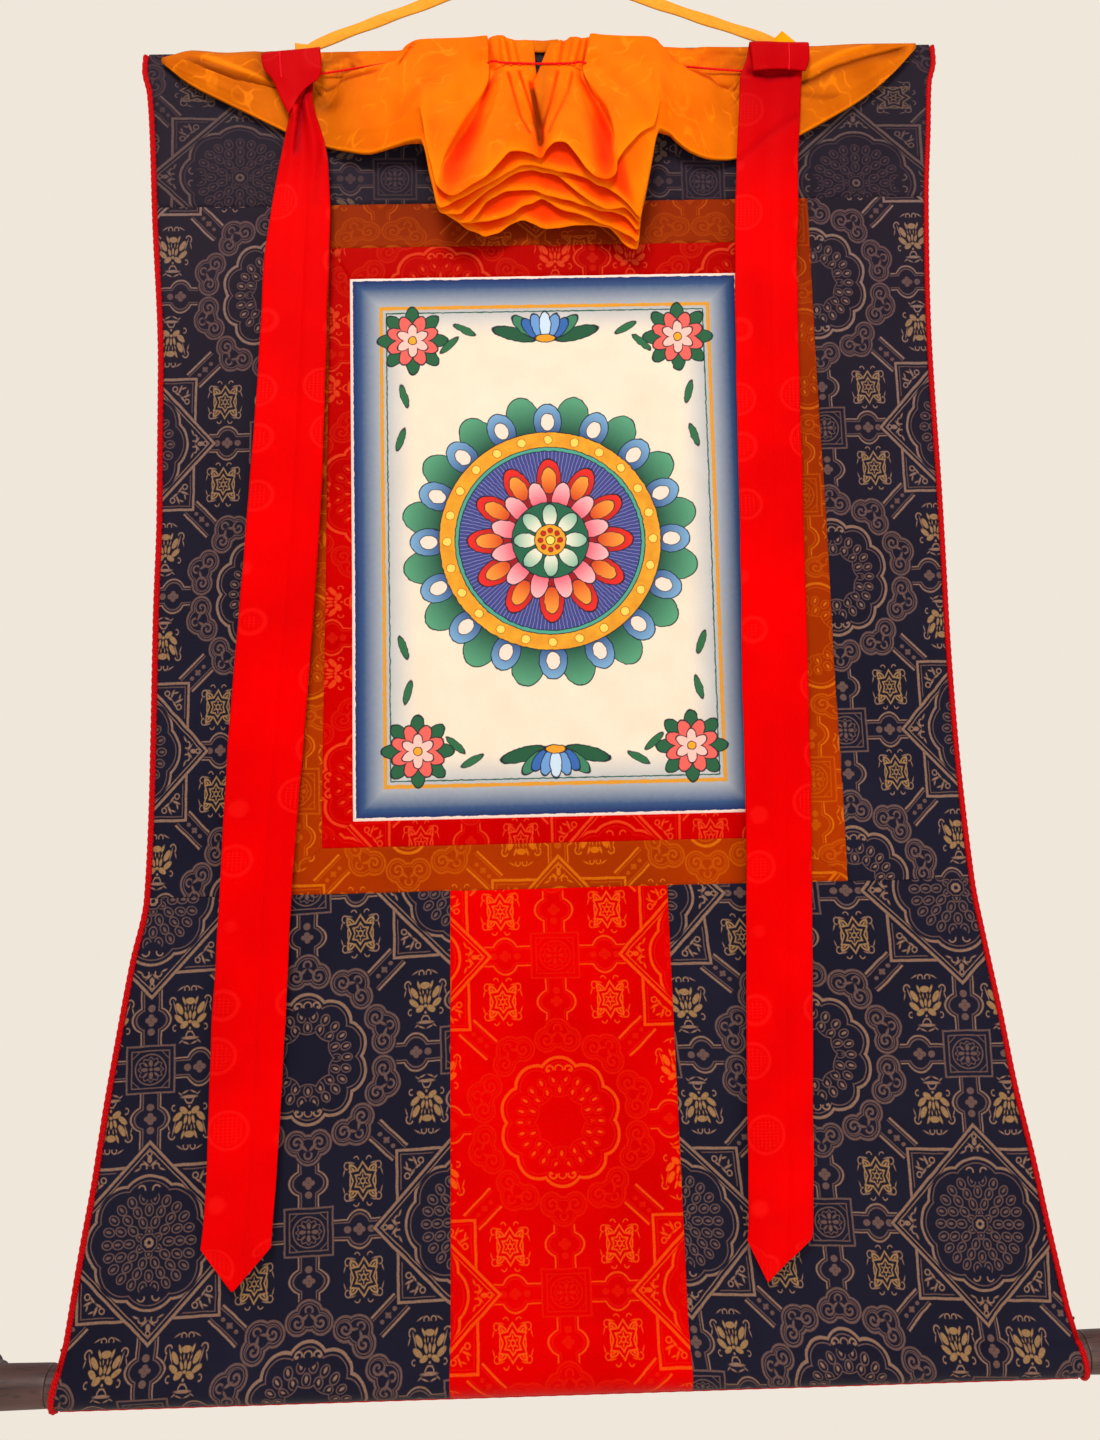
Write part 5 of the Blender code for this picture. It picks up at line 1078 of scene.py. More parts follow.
def hermite_rows(knots, values, places):
    """Smooth curve through rows of values that never overshoots them, read at new places."""
    knots, values, places = np.asarray(knots), np.asarray(values), np.asarray(places)
    gaps = np.diff(knots)
    flat = values.reshape(len(knots), -1)
    rates = np.diff(flat, axis=0) / gaps[:, None]
    slopes = np.vstack([rates[:1], np.zeros_like(flat[2:]), rates[-1:]])
    low, high = rates[:-1], rates[1:]
    first, second = (2 * gaps[1:] + gaps[:-1])[:, None], (gaps[1:] + 2 * gaps[:-1])[:, None]
    same = low * high > 0
    safe_low, safe_high = np.where(same, low, 1.0), np.where(same, high, 1.0)
    slopes[1:-1] = np.where(same, (first + second) / (first / safe_low + second / safe_high), 0.0)
    index = np.clip(np.searchsorted(knots, places, side="right") - 1, 0, len(gaps) - 1)
    share = ((places - knots[index]) / gaps[index])[:, None]
    span_here = gaps[index][:, None]
    square, cube = share ** 2, share ** 3
    result = (flat[index] * (2 * cube - 3 * square + 1)
              + slopes[index] * span_here * (cube - 2 * square + share)
              + flat[index + 1] * (3 * square - 2 * cube) + slopes[index + 1] * span_here * (cube - square))
    return result.reshape((len(places),) + values.shape[1:])


def clamp(value):
    return min(max(value, 0.0), 1.0)


def even(count):
    """Equal shares from 0 to 1."""
    return [index / count for index in range(count + 1)]


def read_at(heights, values, z):
    """Value of a curve over rising heights, held at its ends."""
    height = min(max(z, heights[0]), heights[-1])
    return float(hermite_rows(heights, values, [height])[0])


def rim_at(z, side):
    """Outer edge of the hanging at a height."""
    order = RIM[::-1]
    return read_at(order[:, 0], order[:, 1 if side == "left" else 2], z)


def left_edge(z):
    """Edge of the cloth inside the piping."""
    return rim_at(z, "left") + PANEL_MARGIN


def right_edge(z):
    """The same at the right."""
    return rim_at(z, "right") - PANEL_MARGIN


def wave(x, z):
    """How far the hung cloth stands back at a place."""
    fall = (WAVE_TOP - z) / (WAVE_TOP - WAVE_FOOT)
    if not 0.0 < fall < 1.0:
        return 0.0
    swell = math.sin(math.pi * fall) ** 2
    return swell * sum(height * math.sin(across * x + down * z + start)
                       for height, across, down, start in WAVES)


def stops(length, spacing, edge=0.0036):
    """Shares of a length, close together near both ends where a seam turns the cloth in."""
    near = [0.0, 0.0005, 0.0011, 0.0020, edge]
    count = max(2, round((length - 2 * edge) / spacing))
    middle = [edge + (length - 2 * edge) * index / count for index in range(1, count)]
    far = [length - place for place in reversed(near)]
    return [place / length for place in near + middle + far]


def turned_in(distance):
    """How far cloth falls back beside a seam."""
    return SEAM_FALL * max(0.0, 1 - distance / SEAM_WIDTH) ** 2


def pucker(x, z, distance, seed=0.0):
    """Small gathers that run away from a seam."""
    spot = Vector((x * PUCKER_PITCH, z * PUCKER_PITCH, seed))
    return PUCKER * math.exp(-distance / PUCKER_REACH) * noise.noise(spot)


def new_piece(name, points, faces, layout=None):
    """Smooth mesh, with the flat place of each point in metres as UV where it has one."""
    mesh = bpy.data.meshes.new(name)
    mesh.from_pydata([tuple(point) for point in points], [], faces)
    if layout:
        layer = mesh.uv_layers.new(name="flat")
        for loop in mesh.loops:
            layer.data[loop.index].uv = layout[loop.vertex_index]
    mesh.shade_smooth()
    piece = bpy.data.objects.new(name, mesh)
    bpy.context.scene.collection.objects.link(piece)
    return piece


def grid(name, columns, rows, place, chart):
    """Sheet of quads over two lists of shares."""
    points = [place(across, down) for down in rows for across in columns]
    width = len(columns)
    faces = [(row * width + column, (row + 1) * width + column,
              (row + 1) * width + column + 1, row * width + column + 1)
             for row in range(len(rows) - 1) for column in range(width - 1)]
    return new_piece(name, points, faces, [chart(across, down) for down in rows for across in columns])


def thicken(piece, thickness, materials):
    """Give a sheet its thickness, with the back in its own material."""
    for material in materials:
        piece.data.materials.append(material)
    shell = piece.modifiers.new("Thickness", "SOLIDIFY")
    shell.thickness = thickness
    shell.offset = 0.0
    shell.material_offset = 1
    shell.material_offset_rim = 0


def carry(piece, name, values):
    """Put a value on each point of a piece for its material."""
    layer = piece.data.attributes.new(name, "FLOAT", "POINT")
    layer.data.foreach_set("value", np.asarray(values, dtype=np.float32).ravel())


def settle(piece, node):
    """Let a piece ride on the hanging in place of its CAD node."""
    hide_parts(node)
    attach(piece, "root")


def lattice_chart(panel):
    """Flat layout of a panel, fitted to where four points of the brocade lie on it."""
    corners = in_metres(LATTICE[panel])
    system = np.array([(1.0, x, z, x * z) for x, z in corners])
    goals = np.array(((0.0, 0.0), (HALF_ACROSS, 0.0), (0.0, HALF_DOWN), (HALF_ACROSS, HALF_DOWN))) / 1000
    weights = np.linalg.solve(system, goals)

    def chart(x, z):
        return tuple(np.array((1.0, x, z, x * z)) @ weights)

    return chart


def corners_of(frame_row):
    """Corners of a frame as x and height, clockwise from the upper left."""
    return ((-frame_row.half_top, frame_row.top), (frame_row.half_top, frame_row.top),
            (frame_row.half_bottom, frame_row.bottom), (-frame_row.half_bottom, frame_row.bottom))


def make_flat_panel(node, corners, materials, thickness):
    """Four-sided panel with straight seams."""
    upper_left, upper_right, lower_right, lower_left = (Vector(corner) for corner in corners)
    width = ((upper_right - upper_left).length + (lower_right - lower_left).length) / 2
    height = ((lower_left - upper_left).length + (lower_right - upper_right).length) / 2
    middle = (PICTURE.top + PICTURE.bottom) / 2
    chart = lattice_chart(node) if node in LATTICE else (lambda x, z: (x, z - middle))

    def flat(across, down):
        return upper_left.lerp(upper_right, across).lerp(lower_left.lerp(lower_right, across), down)

    def place(across, down):
        spot = flat(across, down)
        near = min(across * width, (1 - across) * width, down * height, (1 - down) * height)
        y = wave(spot.x, spot.y) + SHEET / 2 + turned_in(near) + pucker(spot.x, spot.y, near)
        return spot.x, y, spot.y

    piece = grid(f"{node}_cloth", stops(width, 0.005), stops(height, 0.005), place,
                 lambda across, down: chart(*flat(across, down)))
    thicken(piece, thickness, materials)
    settle(piece, node)
    top, low = (upper_right - upper_left).length, (lower_right - lower_left).length
    left, right = (lower_left - upper_left).length, (lower_right - upper_right).length
    round(max(top, low), 3)
    round(max(left, right), 3)
    area_of(corners)


def area_of(corners):
    """Area of a four-sided figure, in square metres."""
    total = sum(first[0] * second[1] - second[0] * first[1]
                for first, second in zip(corners, corners[1:] + corners[:1]))
    return abs(total) / 2


def make_borders(node, outer, inner, materials):
    """Four mitred strips between two frames."""
    out, inn = corners_of(outer), corners_of(inner)
    strips = {
        "top": (out[0], out[1], inn[1], inn[0]), "bottom": (inn[3], inn[2], out[2], out[3]),
        "left": (out[0], inn[0], inn[3], out[3]), "right": (inn[1], out[1], out[2], inn[2]),
    }
    for side, corners in strips.items():
        make_flat_panel(f"{node}_{side}", corners, materials, SHEET)


def make_section_panel(node, stations, left, right, materials, spacing):
    """Panel swept along a section of (depth or None, height, edge height) rows."""
    lengths = [0.0]
    for before, after in zip(stations, stations[1:]):
        step_y = (after[0] or 0.0) - (before[0] or 0.0)
        lengths.append(lengths[-1] + math.hypot(step_y, after[1] - before[1]))
    total = lengths[-1]
    rows = [length / total for length in lengths]
    chart = lattice_chart(node)
    first_z = stations[0][1]
    width = right(stations[0][2]) - left(stations[0][2])
    upward = stations[1][1] > first_z
    index_of = {share: index for index, share in enumerate(rows)}

    def place(across, down):
        y, z, edge_z, bulge = stations[index_of[down]]
        start, end = left(edge_z), right(edge_z)
        x = start + (end - start) * across
        side = min(across, 1 - across) * (end - start)
        near = min(side, lengths[index_of[down]])
        if y is None:
            y = wave(x, z) + SHEET / 2
        y += bulge * (turned_in(near) + pucker(x, z, near, 3.0))
        y += bulge * 0.0009 * noise.noise(Vector((x * 11, z * 8, 5.0)))
        return x, y, z

    def layout(across, down):
        edge_z = stations[index_of[down]][2]
        start, end = left(edge_z), right(edge_z)
        run = lengths[index_of[down]]
        z = first_z + run if upward else first_z - run
        return chart(start + (end - start) * across, z)

    piece = grid(f"{node}_cloth", stops(width, spacing), rows, place, layout)
    thicken(piece, SHEET, materials)
    settle(piece, node)


def hung_rows(high, low):
    """Rows of a cloth that hangs between two heights."""
    heights = [high + (low - high) * share for share in stops(high - low, 0.006)]
    return [(None, z, z, 1.0) for z in heights]


def seam(z):
    """Half width of the frame at a height."""
    share = (z - SEAM_HIGH) / (SEAM_LOW - SEAM_HIGH)
    return OUTER_FRAME.half_top + (OUTER_FRAME.half_bottom - OUTER_FRAME.half_top) * share


def make_sides(materials):
    """Strips beside the frame."""
    stations = hung_rows(SEAM_HIGH, SEAM_LOW)
    make_section_panel("navy_side_left", stations, left_edge, lambda z: -seam(z), materials,
                       0.005)
    make_section_panel("navy_side_right", stations, seam, right_edge, materials,
                       0.005)


def make_top(materials):
    """Top strip: its front, the turn round the slat and the hem behind."""
    front = SHEET / 2 + 0.00015
    centre_y, centre_z = front + HEM_ARC, HEM_TOP - HALF_WALL - HEM_ARC
    low, high = SEAM_HIGH, centre_z
    heights = [low + (high - low) * share for share in stops(high - low, 0.006)]
    stations = [(front, z, z, 1.0) for z in heights]
    for index in range(1, 17):
        turn = math.pi * index / 16
        z = centre_z + HEM_ARC * math.sin(turn)
        stations.append((centre_y - HEM_ARC * math.cos(turn), z, z, 0.0))
    for share in even(4)[1:]:
        y = centre_y + HEM_ARC + (front + 0.0021 - centre_y - HEM_ARC) * share ** 2
        z = centre_z + (HEM_END - centre_z) * share
        stations.append((y, z, z, 0.0))
    make_section_panel("navy_top", stations, left_edge, right_edge, materials, 0.006)


def pocket_point(radius, degrees):
    """Depth and height on a circle round the rod: 0 degrees is its front, 90 its top."""
    turn = math.radians(degrees)
    return ROD_Y - radius * math.cos(turn), ROD_Z + radius * math.sin(turn)


def lower_stations():
    """Rows of a lower panel: hung front, stitch line, round the rod and up behind it."""
    stations = hung_rows(SEAM_LOW, POCKET_TOP)
    start_y, start_z = SHEET / 2 + SEAM_FALL, POCKET_TOP
    first_y, first_z = pocket_point(POCKET_ARC, POCKET_START)
    for share in (0.2, 0.4, 0.6, 0.8):
        swell = math.sin(math.pi * share) * 0.0006
        z = start_z + (first_z - start_z) * share
        stations.append((start_y + (first_y - start_y) * share - swell, z, z, 0.3))
    lowest = first_z
    for index in range(37):
        y, z = pocket_point(POCKET_ARC, POCKET_START - POCKET_TURN * index / 36)
        lowest = min(lowest, z)
        stations.append((y, z, lowest, 0.0))
    last_y, last_z = stations[-1][:2]
    return stations + [(last_y + (0.0024 - last_y) * share, last_z + (POCKET_TOP - 0.0060 - last_z) * share,
                        lowest, 0.0) for share in (0.5, 1.0)]


def door_edge(z):
    """Half width of the door at a height."""
    share = (z - SEAM_LOW) / (RIM[-1, 0] - SEAM_LOW)
    return DOOR_HALF_TOP + (DOOR_HALF_BOTTOM - DOOR_HALF_TOP) * share


def make_lower_panels(materials):
    """Skirts and the door between them."""
    for node, left, right, slot, spacing, flat in (
            ("navy_skirt_left", left_edge, lambda z: -door_edge(z), "navy_brocade", 0.006, (0.285, 0.400)),
            ("navy_skirt_right", door_edge, right_edge, "navy_brocade", 0.006, (0.285, 0.400)),
            ("door", lambda z: -door_edge(z), door_edge, "door_brocade", 0.005, (0.170, 0.400))):
        make_section_panel(node, lower_stations(), left, right, materials[slot], spacing)


def tube(name, points, radius, sides, material, twist, ribs, depth):
    """Closed round cord along points, with ribs that wind along it."""
    spots = [Vector(point) for point in points]
    verts, layout, travelled = [], [], 0.0
    normal = Vector((0.0, -1.0, 0.0))
    for index, spot in enumerate(spots):
        ahead = (spots[min(index + 1, len(spots) - 1)] - spots[max(index - 1, 0)]).normalized()
        normal = (normal - ahead * normal.dot(ahead)).normalized()
        other = ahead.cross(normal)
        if index:
            travelled += (spot - spots[index - 1]).length
        for side in range(sides):
            turn = 2 * math.pi * side / sides
            swell = 1 + depth * math.cos(ribs * turn - 2 * math.pi * travelled / twist)
            verts.append(spot + (normal * math.cos(turn) + other * math.sin(turn)) * radius * swell)
            layout.append((2 * math.pi * radius * side / sides, travelled))
    last = (len(spots) - 1) * sides
    faces = [(start + side, start + (side + 1) % sides,
              start + sides + (side + 1) % sides, start + sides + side)
             for start in range(0, last, sides) for side in range(sides)]
    faces += [tuple(reversed(range(sides))), tuple(range(last, last + sides))]
    piece = new_piece(name, verts, faces, layout)
    piece.data.materials.append(material)
    return piece


def smooth_route(route, steps):
    """Evenly numbered points on a smooth curve through a route."""
    points = [Vector(point) for point in route]
    result = []
    for step_index in range(steps + 1):
        place = step_index / steps * (len(points) - 1)
        index = min(int(place), len(points) - 2)
        before, start = points[max(index - 1, 0)], points[index]
        end, after = points[index + 1], points[min(index + 2, len(points) - 1)]
        share = place - index
        square, cube = share ** 2, share ** 3
        result.append(start * (2 * cube - 3 * square + 1) + (end - before) / 2 * (cube - 2 * square + share)
                      + end * (3 * square - 2 * cube) + (after - start) / 2 * (cube - square))
    return result


def travelled_along(points):
    """Length of a route up to each of its points."""
    lengths = [0.0]
    for first, second in zip(points, points[1:]):
        lengths.append(lengths[-1] + (second - first).length)
    return lengths


def make_tie(materials):
    """Cord that gathers the silk: two plies, a little loose at the pleats."""
    points = smooth_route(TIE_ROUTE, 520)
    piece = tube("tie_cord_twist", points, TIE_RADIUS, 8, materials[0], 0.0034, 2, 0.14)
    settle(piece, "tie_cord")
    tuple(TIE_ROUTE[0])
    round(travelled_along(points)[-1], 3)


def make_tape(materials):
    """Flat woven tape from the back of the hem to the hanging point."""
    count = 300
    points = smooth_route(TAPE_ROUTE, count)
    lengths = travelled_along(points)

    def place(across, down):
        index = round(down * count)
        run = (points[min(index + 1, count)] - points[max(index - 1, 0)]).normalized()
        turn = math.pi / 2 * max(0.0, 1 - abs(points[index].x) / 0.080) ** 2
        flat = run.cross(Vector((0.0, 1.0, 0.0))).normalized()
        width = flat * math.cos(turn) + Vector((0.0, 1.0, 0.0)) * math.sin(turn)
        curl = 0.0005 * (2 * across - 1) ** 2 + 0.0004 * math.sin(lengths[index] * 160 + across * 3)
        return points[index] + width * TAPE_WIDTH * (across - 0.5) - run.cross(width) * curl

    piece = grid("hanging_tape_woven", even(8), even(count), place,
                 lambda across, down: (across * TAPE_WIDTH, lengths[round(down * count)]))
    thicken(piece, TAPE, materials)
    settle(piece, "hanging_tape")
    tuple(TAPE_ROUTE[0])


def make_pipings(materials):
    """Twisted cords down both sides, on round the rod and under the pocket."""
    for side, sign in (("left", -1), ("right", 1)):
        inward = sign * (PIPING_RADIUS + PIPING_INWARD)
        points = []
        for share in even(700):
            z = PIPING_TOP + (POCKET_TOP - PIPING_TOP) * share
            x = rim_at(z, side) - inward
            points.append((x, wave(x, z) + SHEET / 2, z))
        for share in even(44):
            y, z = pocket_point(POCKET_ARC + 0.0006, POCKET_START - POCKET_TURN * 6 / 13 * share)
            points.append((rim_at(z, side) - inward, y, z))
        piece = tube(f"piping_{side}_twist", points, PIPING_LOOK[side], 12, materials[0], 0.0056, 2, 0.10)
        settle(piece, f"piping_{side}")
    z = ROD_Z - POCKET_ARC - HALF_WALL - 0.0003 - BOTTOM_RADIUS
    left, right = left_edge(z), right_edge(z)
    points = [(left + (right - left) * share, ROD_Y, z) for share in even(240)]
    piece = tube("piping_bottom_twist", points, BOTTOM_RADIUS, 6, materials[0], 0.0040, 2, 0.10)
    settle(piece, "piping_bottom")


def make_knobs(materials):
    """Turned ends of the rod, as rings of points round its axis."""
    profile = hermite_rows(np.arange(len(KNOB)), KNOB, np.linspace(0, len(KNOB) - 1, 91))
    count = 64
    turns = [2 * math.pi * index / count for index in range(count)]
    for side, sign in (("left", -1), ("right", 1)):
        verts = [(sign * (ROD_HALF + KNOB_GAP + out), ROD_Y + radius * math.cos(turn),
                  ROD_Z + radius * math.sin(turn)) for out, radius in profile for turn in turns]
        faces = [(start + index, start + (index + 1) % count,
                  start + count + (index + 1) % count, start + count + index)[::-sign]
                 for start in range(0, (len(profile) - 1) * count, count) for index in range(count)]
        piece = new_piece(f"knob_{side}_turned", verts, faces)
        join = piece.modifiers.new("Close", "WELD")
        join.merge_threshold = 0.00002
        piece.data.materials.append(materials[0])
        settle(piece, f"knob_{side}")


def make_streamers(materials):
    """Ribbons: flap, fold and long front, with their creases, painted shade, waviness and pointed ends."""
    for side, (table, tip_share, tip_drop) in STREAMERS.items():
        middle_z = (table[:, 1] + table[:, 3]) / 2
        knots = np.concatenate([[0.0], np.cumsum(np.hypot(np.diff(middle_z), np.diff(table[:, 4])))])
        total = float(knots[-1])
        tight = knots[11] / total
        shares = sorted({tight * index / 110 for index in range(111)}
                        | {tight + (1 - tight) * index / 210 for index in range(1, 211)})
        body, tip_rows, width = len(shares), 14, 33
        runs = np.array(shares) * total
        fine = hermite_rows(knots, table, runs)
        fine = np.vstack([fine, np.repeat(fine[-1:], tip_rows, axis=0)])
        beyond = np.concatenate([np.zeros(body), np.arange(1, tip_rows + 1) / tip_rows])[:, None]
        across = np.linspace(0, 1, width)[None, :]
        slant = np.where(across < tip_share, across / tip_share, (1 - across) / (1 - tip_share))
        x = fine[:, 0:1] + (fine[:, 2:3] - fine[:, 0:1]) * across
        z = fine[:, 1:2] + (fine[:, 3:4] - fine[:, 1:2]) * across - tip_drop * slant * beyond
        y = fine[:, 4:5] - fine[:, 5:6] * np.sin(2 * np.pi * across) ** 2
        flap_rows = int(np.argmax(fine[:, 4]))
        bow = FLAP_BOW[side] * np.sin(np.pi * across)
        z[:flap_rows] += bow * np.linspace(1, 0, flap_rows)[:, None] ** 2
        front = np.arange(len(fine))[:, None] > flap_rows
        y += 0.0007 * np.exp(-((across - 0.60) / 0.035) ** 2) * np.clip((-0.19 - z) / 0.06, 0.0, 1.0)
        y += 0.0003 * np.exp(-(np.minimum(across, 1 - across) * 0.045 / 0.0015) ** 2)
        # Painted shade: darker towards the flap, under the silk, and in the creases below
        brown_painted_shade = np.clip((z + 0.21) / 0.10, 0.0, 1.0) * 0.42
        for points, wide, depth, painted_shade_amount, flank in RIBBON_CREASES[side]:
            near = crease_share(x * 1000, z * 1000, points, wide, flank) * front
            y += near ** 1.4 * depth / 1000
            brown_painted_shade = np.clip(brown_painted_shade + near * painted_shade_amount, 0.0, 1.0)
        seed = 7.0 if side == "left" else -7.0
        for row in range(len(fine)):
            for column in range(width):
                spot = Vector((across[0, column] * 2.2, z[row, column] * 14, seed))
                y[row, column] += 0.0006 * noise.noise(spot)
                spot = Vector((seed, z[row, column] * 30, across[0, column]))
                x[row, column] += 0.0005 * noise.noise(spot)
        runs = np.concatenate([runs, total + np.arange(1, tip_rows + 1) / tip_rows * tip_drop])
        last = len(fine) - 1
        points = np.dstack((x, y, z))
        piece = grid(f"streamer_{side}_silk", list(across[0]), even(last),
                     lambda share, down: points[round(down * last), round(share * (width - 1))],
                     lambda share, down: (share * 0.047, -runs[round(down * last)]))
        carry(piece, "shade", brown_painted_shade)
        thicken(piece, RIBBON, materials)
        settle(piece, f"streamer_{side}")


def make_trims(materials):
    """Stitches on the ribbons, the silk's heading, the tape's spare end and a tuck of silk at the right."""
    for name, points in STITCHES.items():
        route = smooth_route(points, 60)
        thread = tube(name, route, 0.00055, 8, materials["bright_thread"][0], 0.0024, 2, 0.22)
        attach(thread, "root")

    def heading(across, down):
        return (-0.0070 + 0.0230 * across, -0.0017 - 0.0002 * math.sin(across * 9.0),
                -0.0664 - 0.0098 * down - 0.0004 * math.sin(across * 4.0))

    def tail(across, down):
        return (-0.1760 - 0.0176 * down, 0.0102 + 0.0006 * math.sin(down * 3.0),
                -0.0572 - 0.0110 * across - 0.0016 * (1 - down))

    def tuck(across, down):
        return (0.1957 + (across - 0.5) * 0.0400 * (down + 0.02),
                0.0078 + 0.0016 * math.sin(across * 5.0) * down, -0.0542 - 0.0200 * down)

    for name, place, columns, rows, wide, long, thickness, look, slot in (
            ("silk_heading", heading, 12, 6, 0.02, 0.006, SILK, "orange_silk", "orange_silk"),
            ("hanging_tape_tail", tail, 6, 14, TAPE_WIDTH, 0.018, TAPE, "orange_tape", "orange_tape"),
            ("silk_tuck", tuck, 16, 12, 0.04, 0.02, TUCK, "yellow_silk", "orange_silk")):
        piece = grid(name, even(columns), even(rows), place,
                     lambda across, down: (across * wide, down * long))
        thicken(piece, thickness, materials[look])
        # The heading is browner, as painted shade behind the pleats
        if look == "orange_silk":
            carry(piece, "brown_painted_shade", [0.8] * len(piece.data.vertices))
        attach(piece, "root")


def silk_section(cloth):
    """Depth, height and painted shade down one line of the silk, in millimetres."""
    shades = FOLD_SHADES.get(cloth.at, (0.0, 0.0, 0.0, 0.0, RIM_SHADE))
    section = [(cloth.top_y, cloth.top, 0.0)]
    if cloth.pocket:
        section += [(STRIP_Y, cloth.pocket, 0.0), (cloth.fold_y, cloth.fold, 0.0),
                    (cloth.fold_y - 0.8, cloth.fold - CREST_DROP, 0.0)]
    elif cloth.gather:
        tied = min(CORD_HEIGHT, cloth.top - 1.5)
        tied_y = CORD_Y if tied == CORD_HEIGHT else cloth.top_y - 1.0
        section += [(tied_y, tied, shades[0] * 0.3),
                    (tied_y + (cloth.fold_y - tied_y) * 0.45, tied + (cloth.fold - tied) * 0.5,
                     shades[0] * 0.6),
                    (cloth.fold_y, cloth.fold, shades[0])]
    else:
        section += [(cloth.fold_y, cloth.top + (cloth.fold - cloth.top) * share, 0.0)
                    for share in WING_SHARES]
    start_y, start = section[-1][:2]
    tucked = cloth.lip1 < 0
    foot = cloth.lip1 if tucked else start + (cloth.lip2 - start) * PLAIN_SHARES[0]
    rise, swell = cloth.mid_y - start_y, cloth.belly_y - cloth.mid_y
    spread = clamp((abs(cloth.at) - 46) / 60) if cloth.pocket else 1.0
    depths = (start_y + rise * (0.25 + 0.30 * spread), start_y + rise * (0.62 + 0.33 * spread),
              cloth.mid_y + swell * 0.5, cloth.mid_y + swell * 0.92)
    section += [(y, start + (foot - start) * share, shade)
                for share, y, shade in zip(FRONT_SHARES, depths, shades)]
    section.append((cloth.belly_y, foot, shades[4] if tucked else 0.0))
    back = cloth.lip_y - cloth.belly_y
    if tucked:
        heights = [row[1] for row in section[::-1]]
        front = [row[0] for row in section[::-1]]
        turn = max(cloth.lip1, cloth.lip2) + SLOT_RISE
        near = cloth.belly_y
        while turn > cloth.lip1 + 4.0:
            near = float(np.interp(turn, heights, front)) + 2.2
            if near <= cloth.belly_y + 0.8 * back:
                break
            turn -= 1.0
        near = max(near, cloth.belly_y + SLOT_SHARES[1] * back)
        far = cloth.belly_y + SLOT_SHARES[2] * back
        hung = clamp((abs(cloth.at) - 42.0) / 8.0)
        wall = min(cloth.lip2 + WALL_RISE + hung * 0.7 * max(cloth.lip1 - cloth.lip2, 0.0), turn - 1.0)
        section += [(cloth.belly_y + SLOT_SHARES[0] * back, cloth.lip1, UNDER_SHADE),
                    (min(near, far - 0.4), turn, 1.0), (far, turn, 1.0 - 0.4 * hung),
                    (far, wall, 0.85 - 0.65 * hung)]
    else:
        section += [(cloth.belly_y + depth * back, start + (cloth.lip2 - start) * share, 0.0)
                    for share, depth in zip(PLAIN_SHARES[1:], (0.25, 0.45, 0.65, 0.85))]
    return section + (folds_behind(cloth) if cloth.gather else plain_behind(cloth))


def folds_behind(cloth):
    """Layers behind the front where the silk is gathered, with painted highlights on rims and painted shade
    in slots.
    """
    lips = (cloth.lip2, cloth.lip3, cloth.lip4, cloth.lip5, cloth.lip6)
    places = [cloth.lip_y + (LAST_LIP_Y - cloth.lip_y) * share for share in LIP_SHARES]
    section = []
    for order, lip in enumerate(lips):
        y, pitch = places[order], places[order + 1] - places[order]
        section += [(y, lip, RIM_SHADE), (y + SLOT_SHARES[0] * pitch, lip, UNDER_SHADE)]
        if order < len(lips) - 1:
            turn = max(lip, lips[order + 1]) + SLOT_RISE
            section += [(y + SLOT_SHARES[1] * pitch, turn, 1.0), (y + SLOT_SHARES[2] * pitch, turn, 1.0),
                        (y + SLOT_SHARES[2] * pitch, lips[order + 1] + WALL_RISE, 0.85)]
    return section + [(LAST_LIP_Y + 3.6, cloth.lip6 + LAST_RISE, 1.0)]


def plain_behind(cloth):
    """Single layer that returns behind a wing, with a painted highlight at its rim and painted shade above
    it.
    """
    turn = max(1.9, 0.3 * (RETURN_Y - cloth.lip_y))
    rise = RETURN_SHARE * ((cloth.pocket or cloth.fold) - cloth.lip2)
    section = [(cloth.lip_y, cloth.lip2, RIM_SHADE), (cloth.lip_y + turn, cloth.lip2, 0.2)]
    for index in range(1, PLAIN_COUNT - 1):
        share = index / (PLAIN_COUNT - 2)
        y = cloth.lip_y + turn + (RETURN_Y - cloth.lip_y - turn) * share
        section.append((y, cloth.lip2 + rise * share, 0.6))
    return section


def spread_at(line_at, z):
    """Where a line of the silk lies at a height, in millimetres."""
    if line_at not in SPREAD:
        return line_at
    return read_at(*(np.array(values[::-1], dtype=float) for values in (SPREAD_HEIGHTS, SPREAD[line_at])), z)


def finer(values, steps):
    """Values with the given number of steps laid into each gap."""
    rows = [values[index] + (values[index + 1] - values[index]) * part / count
            for index, count in enumerate(steps) for part in range(count)]
    return np.array(rows + [values[-1]])


def silk_surface():
    """Finer points of the silk in metres, with their painted shade: columns, rows, values."""
    control = np.array([[(spread_at(cloth.at, z), y, z, painted_shade_amount * 1000) for y, z, painted_shade_amount in silk_section(cloth)]
                        for cloth in SILK_LINES]) / 1000
    ends = control[:, (0, 8), 0] * 1000
    knots = np.concatenate([[0.0], np.cumsum(np.abs(np.diff(ends, axis=0)).sum(axis=1) + 1.0)])
    steps = [6 if abs(cloth.at + 1) < 95 else 4 for cloth in SILK_LINES[:-1]]
    across = hermite_rows(knots, control, finer(knots, steps))
    turned = np.transpose(across, (1, 0, 2))
    rows = np.arange(len(turned), dtype=float)
    steps = [8 if index < FRONT_ROWS else 3 for index in range(len(rows) - 1)]
    return np.transpose(hermite_rows(rows, turned, finer(rows, steps)), (1, 0, 2))


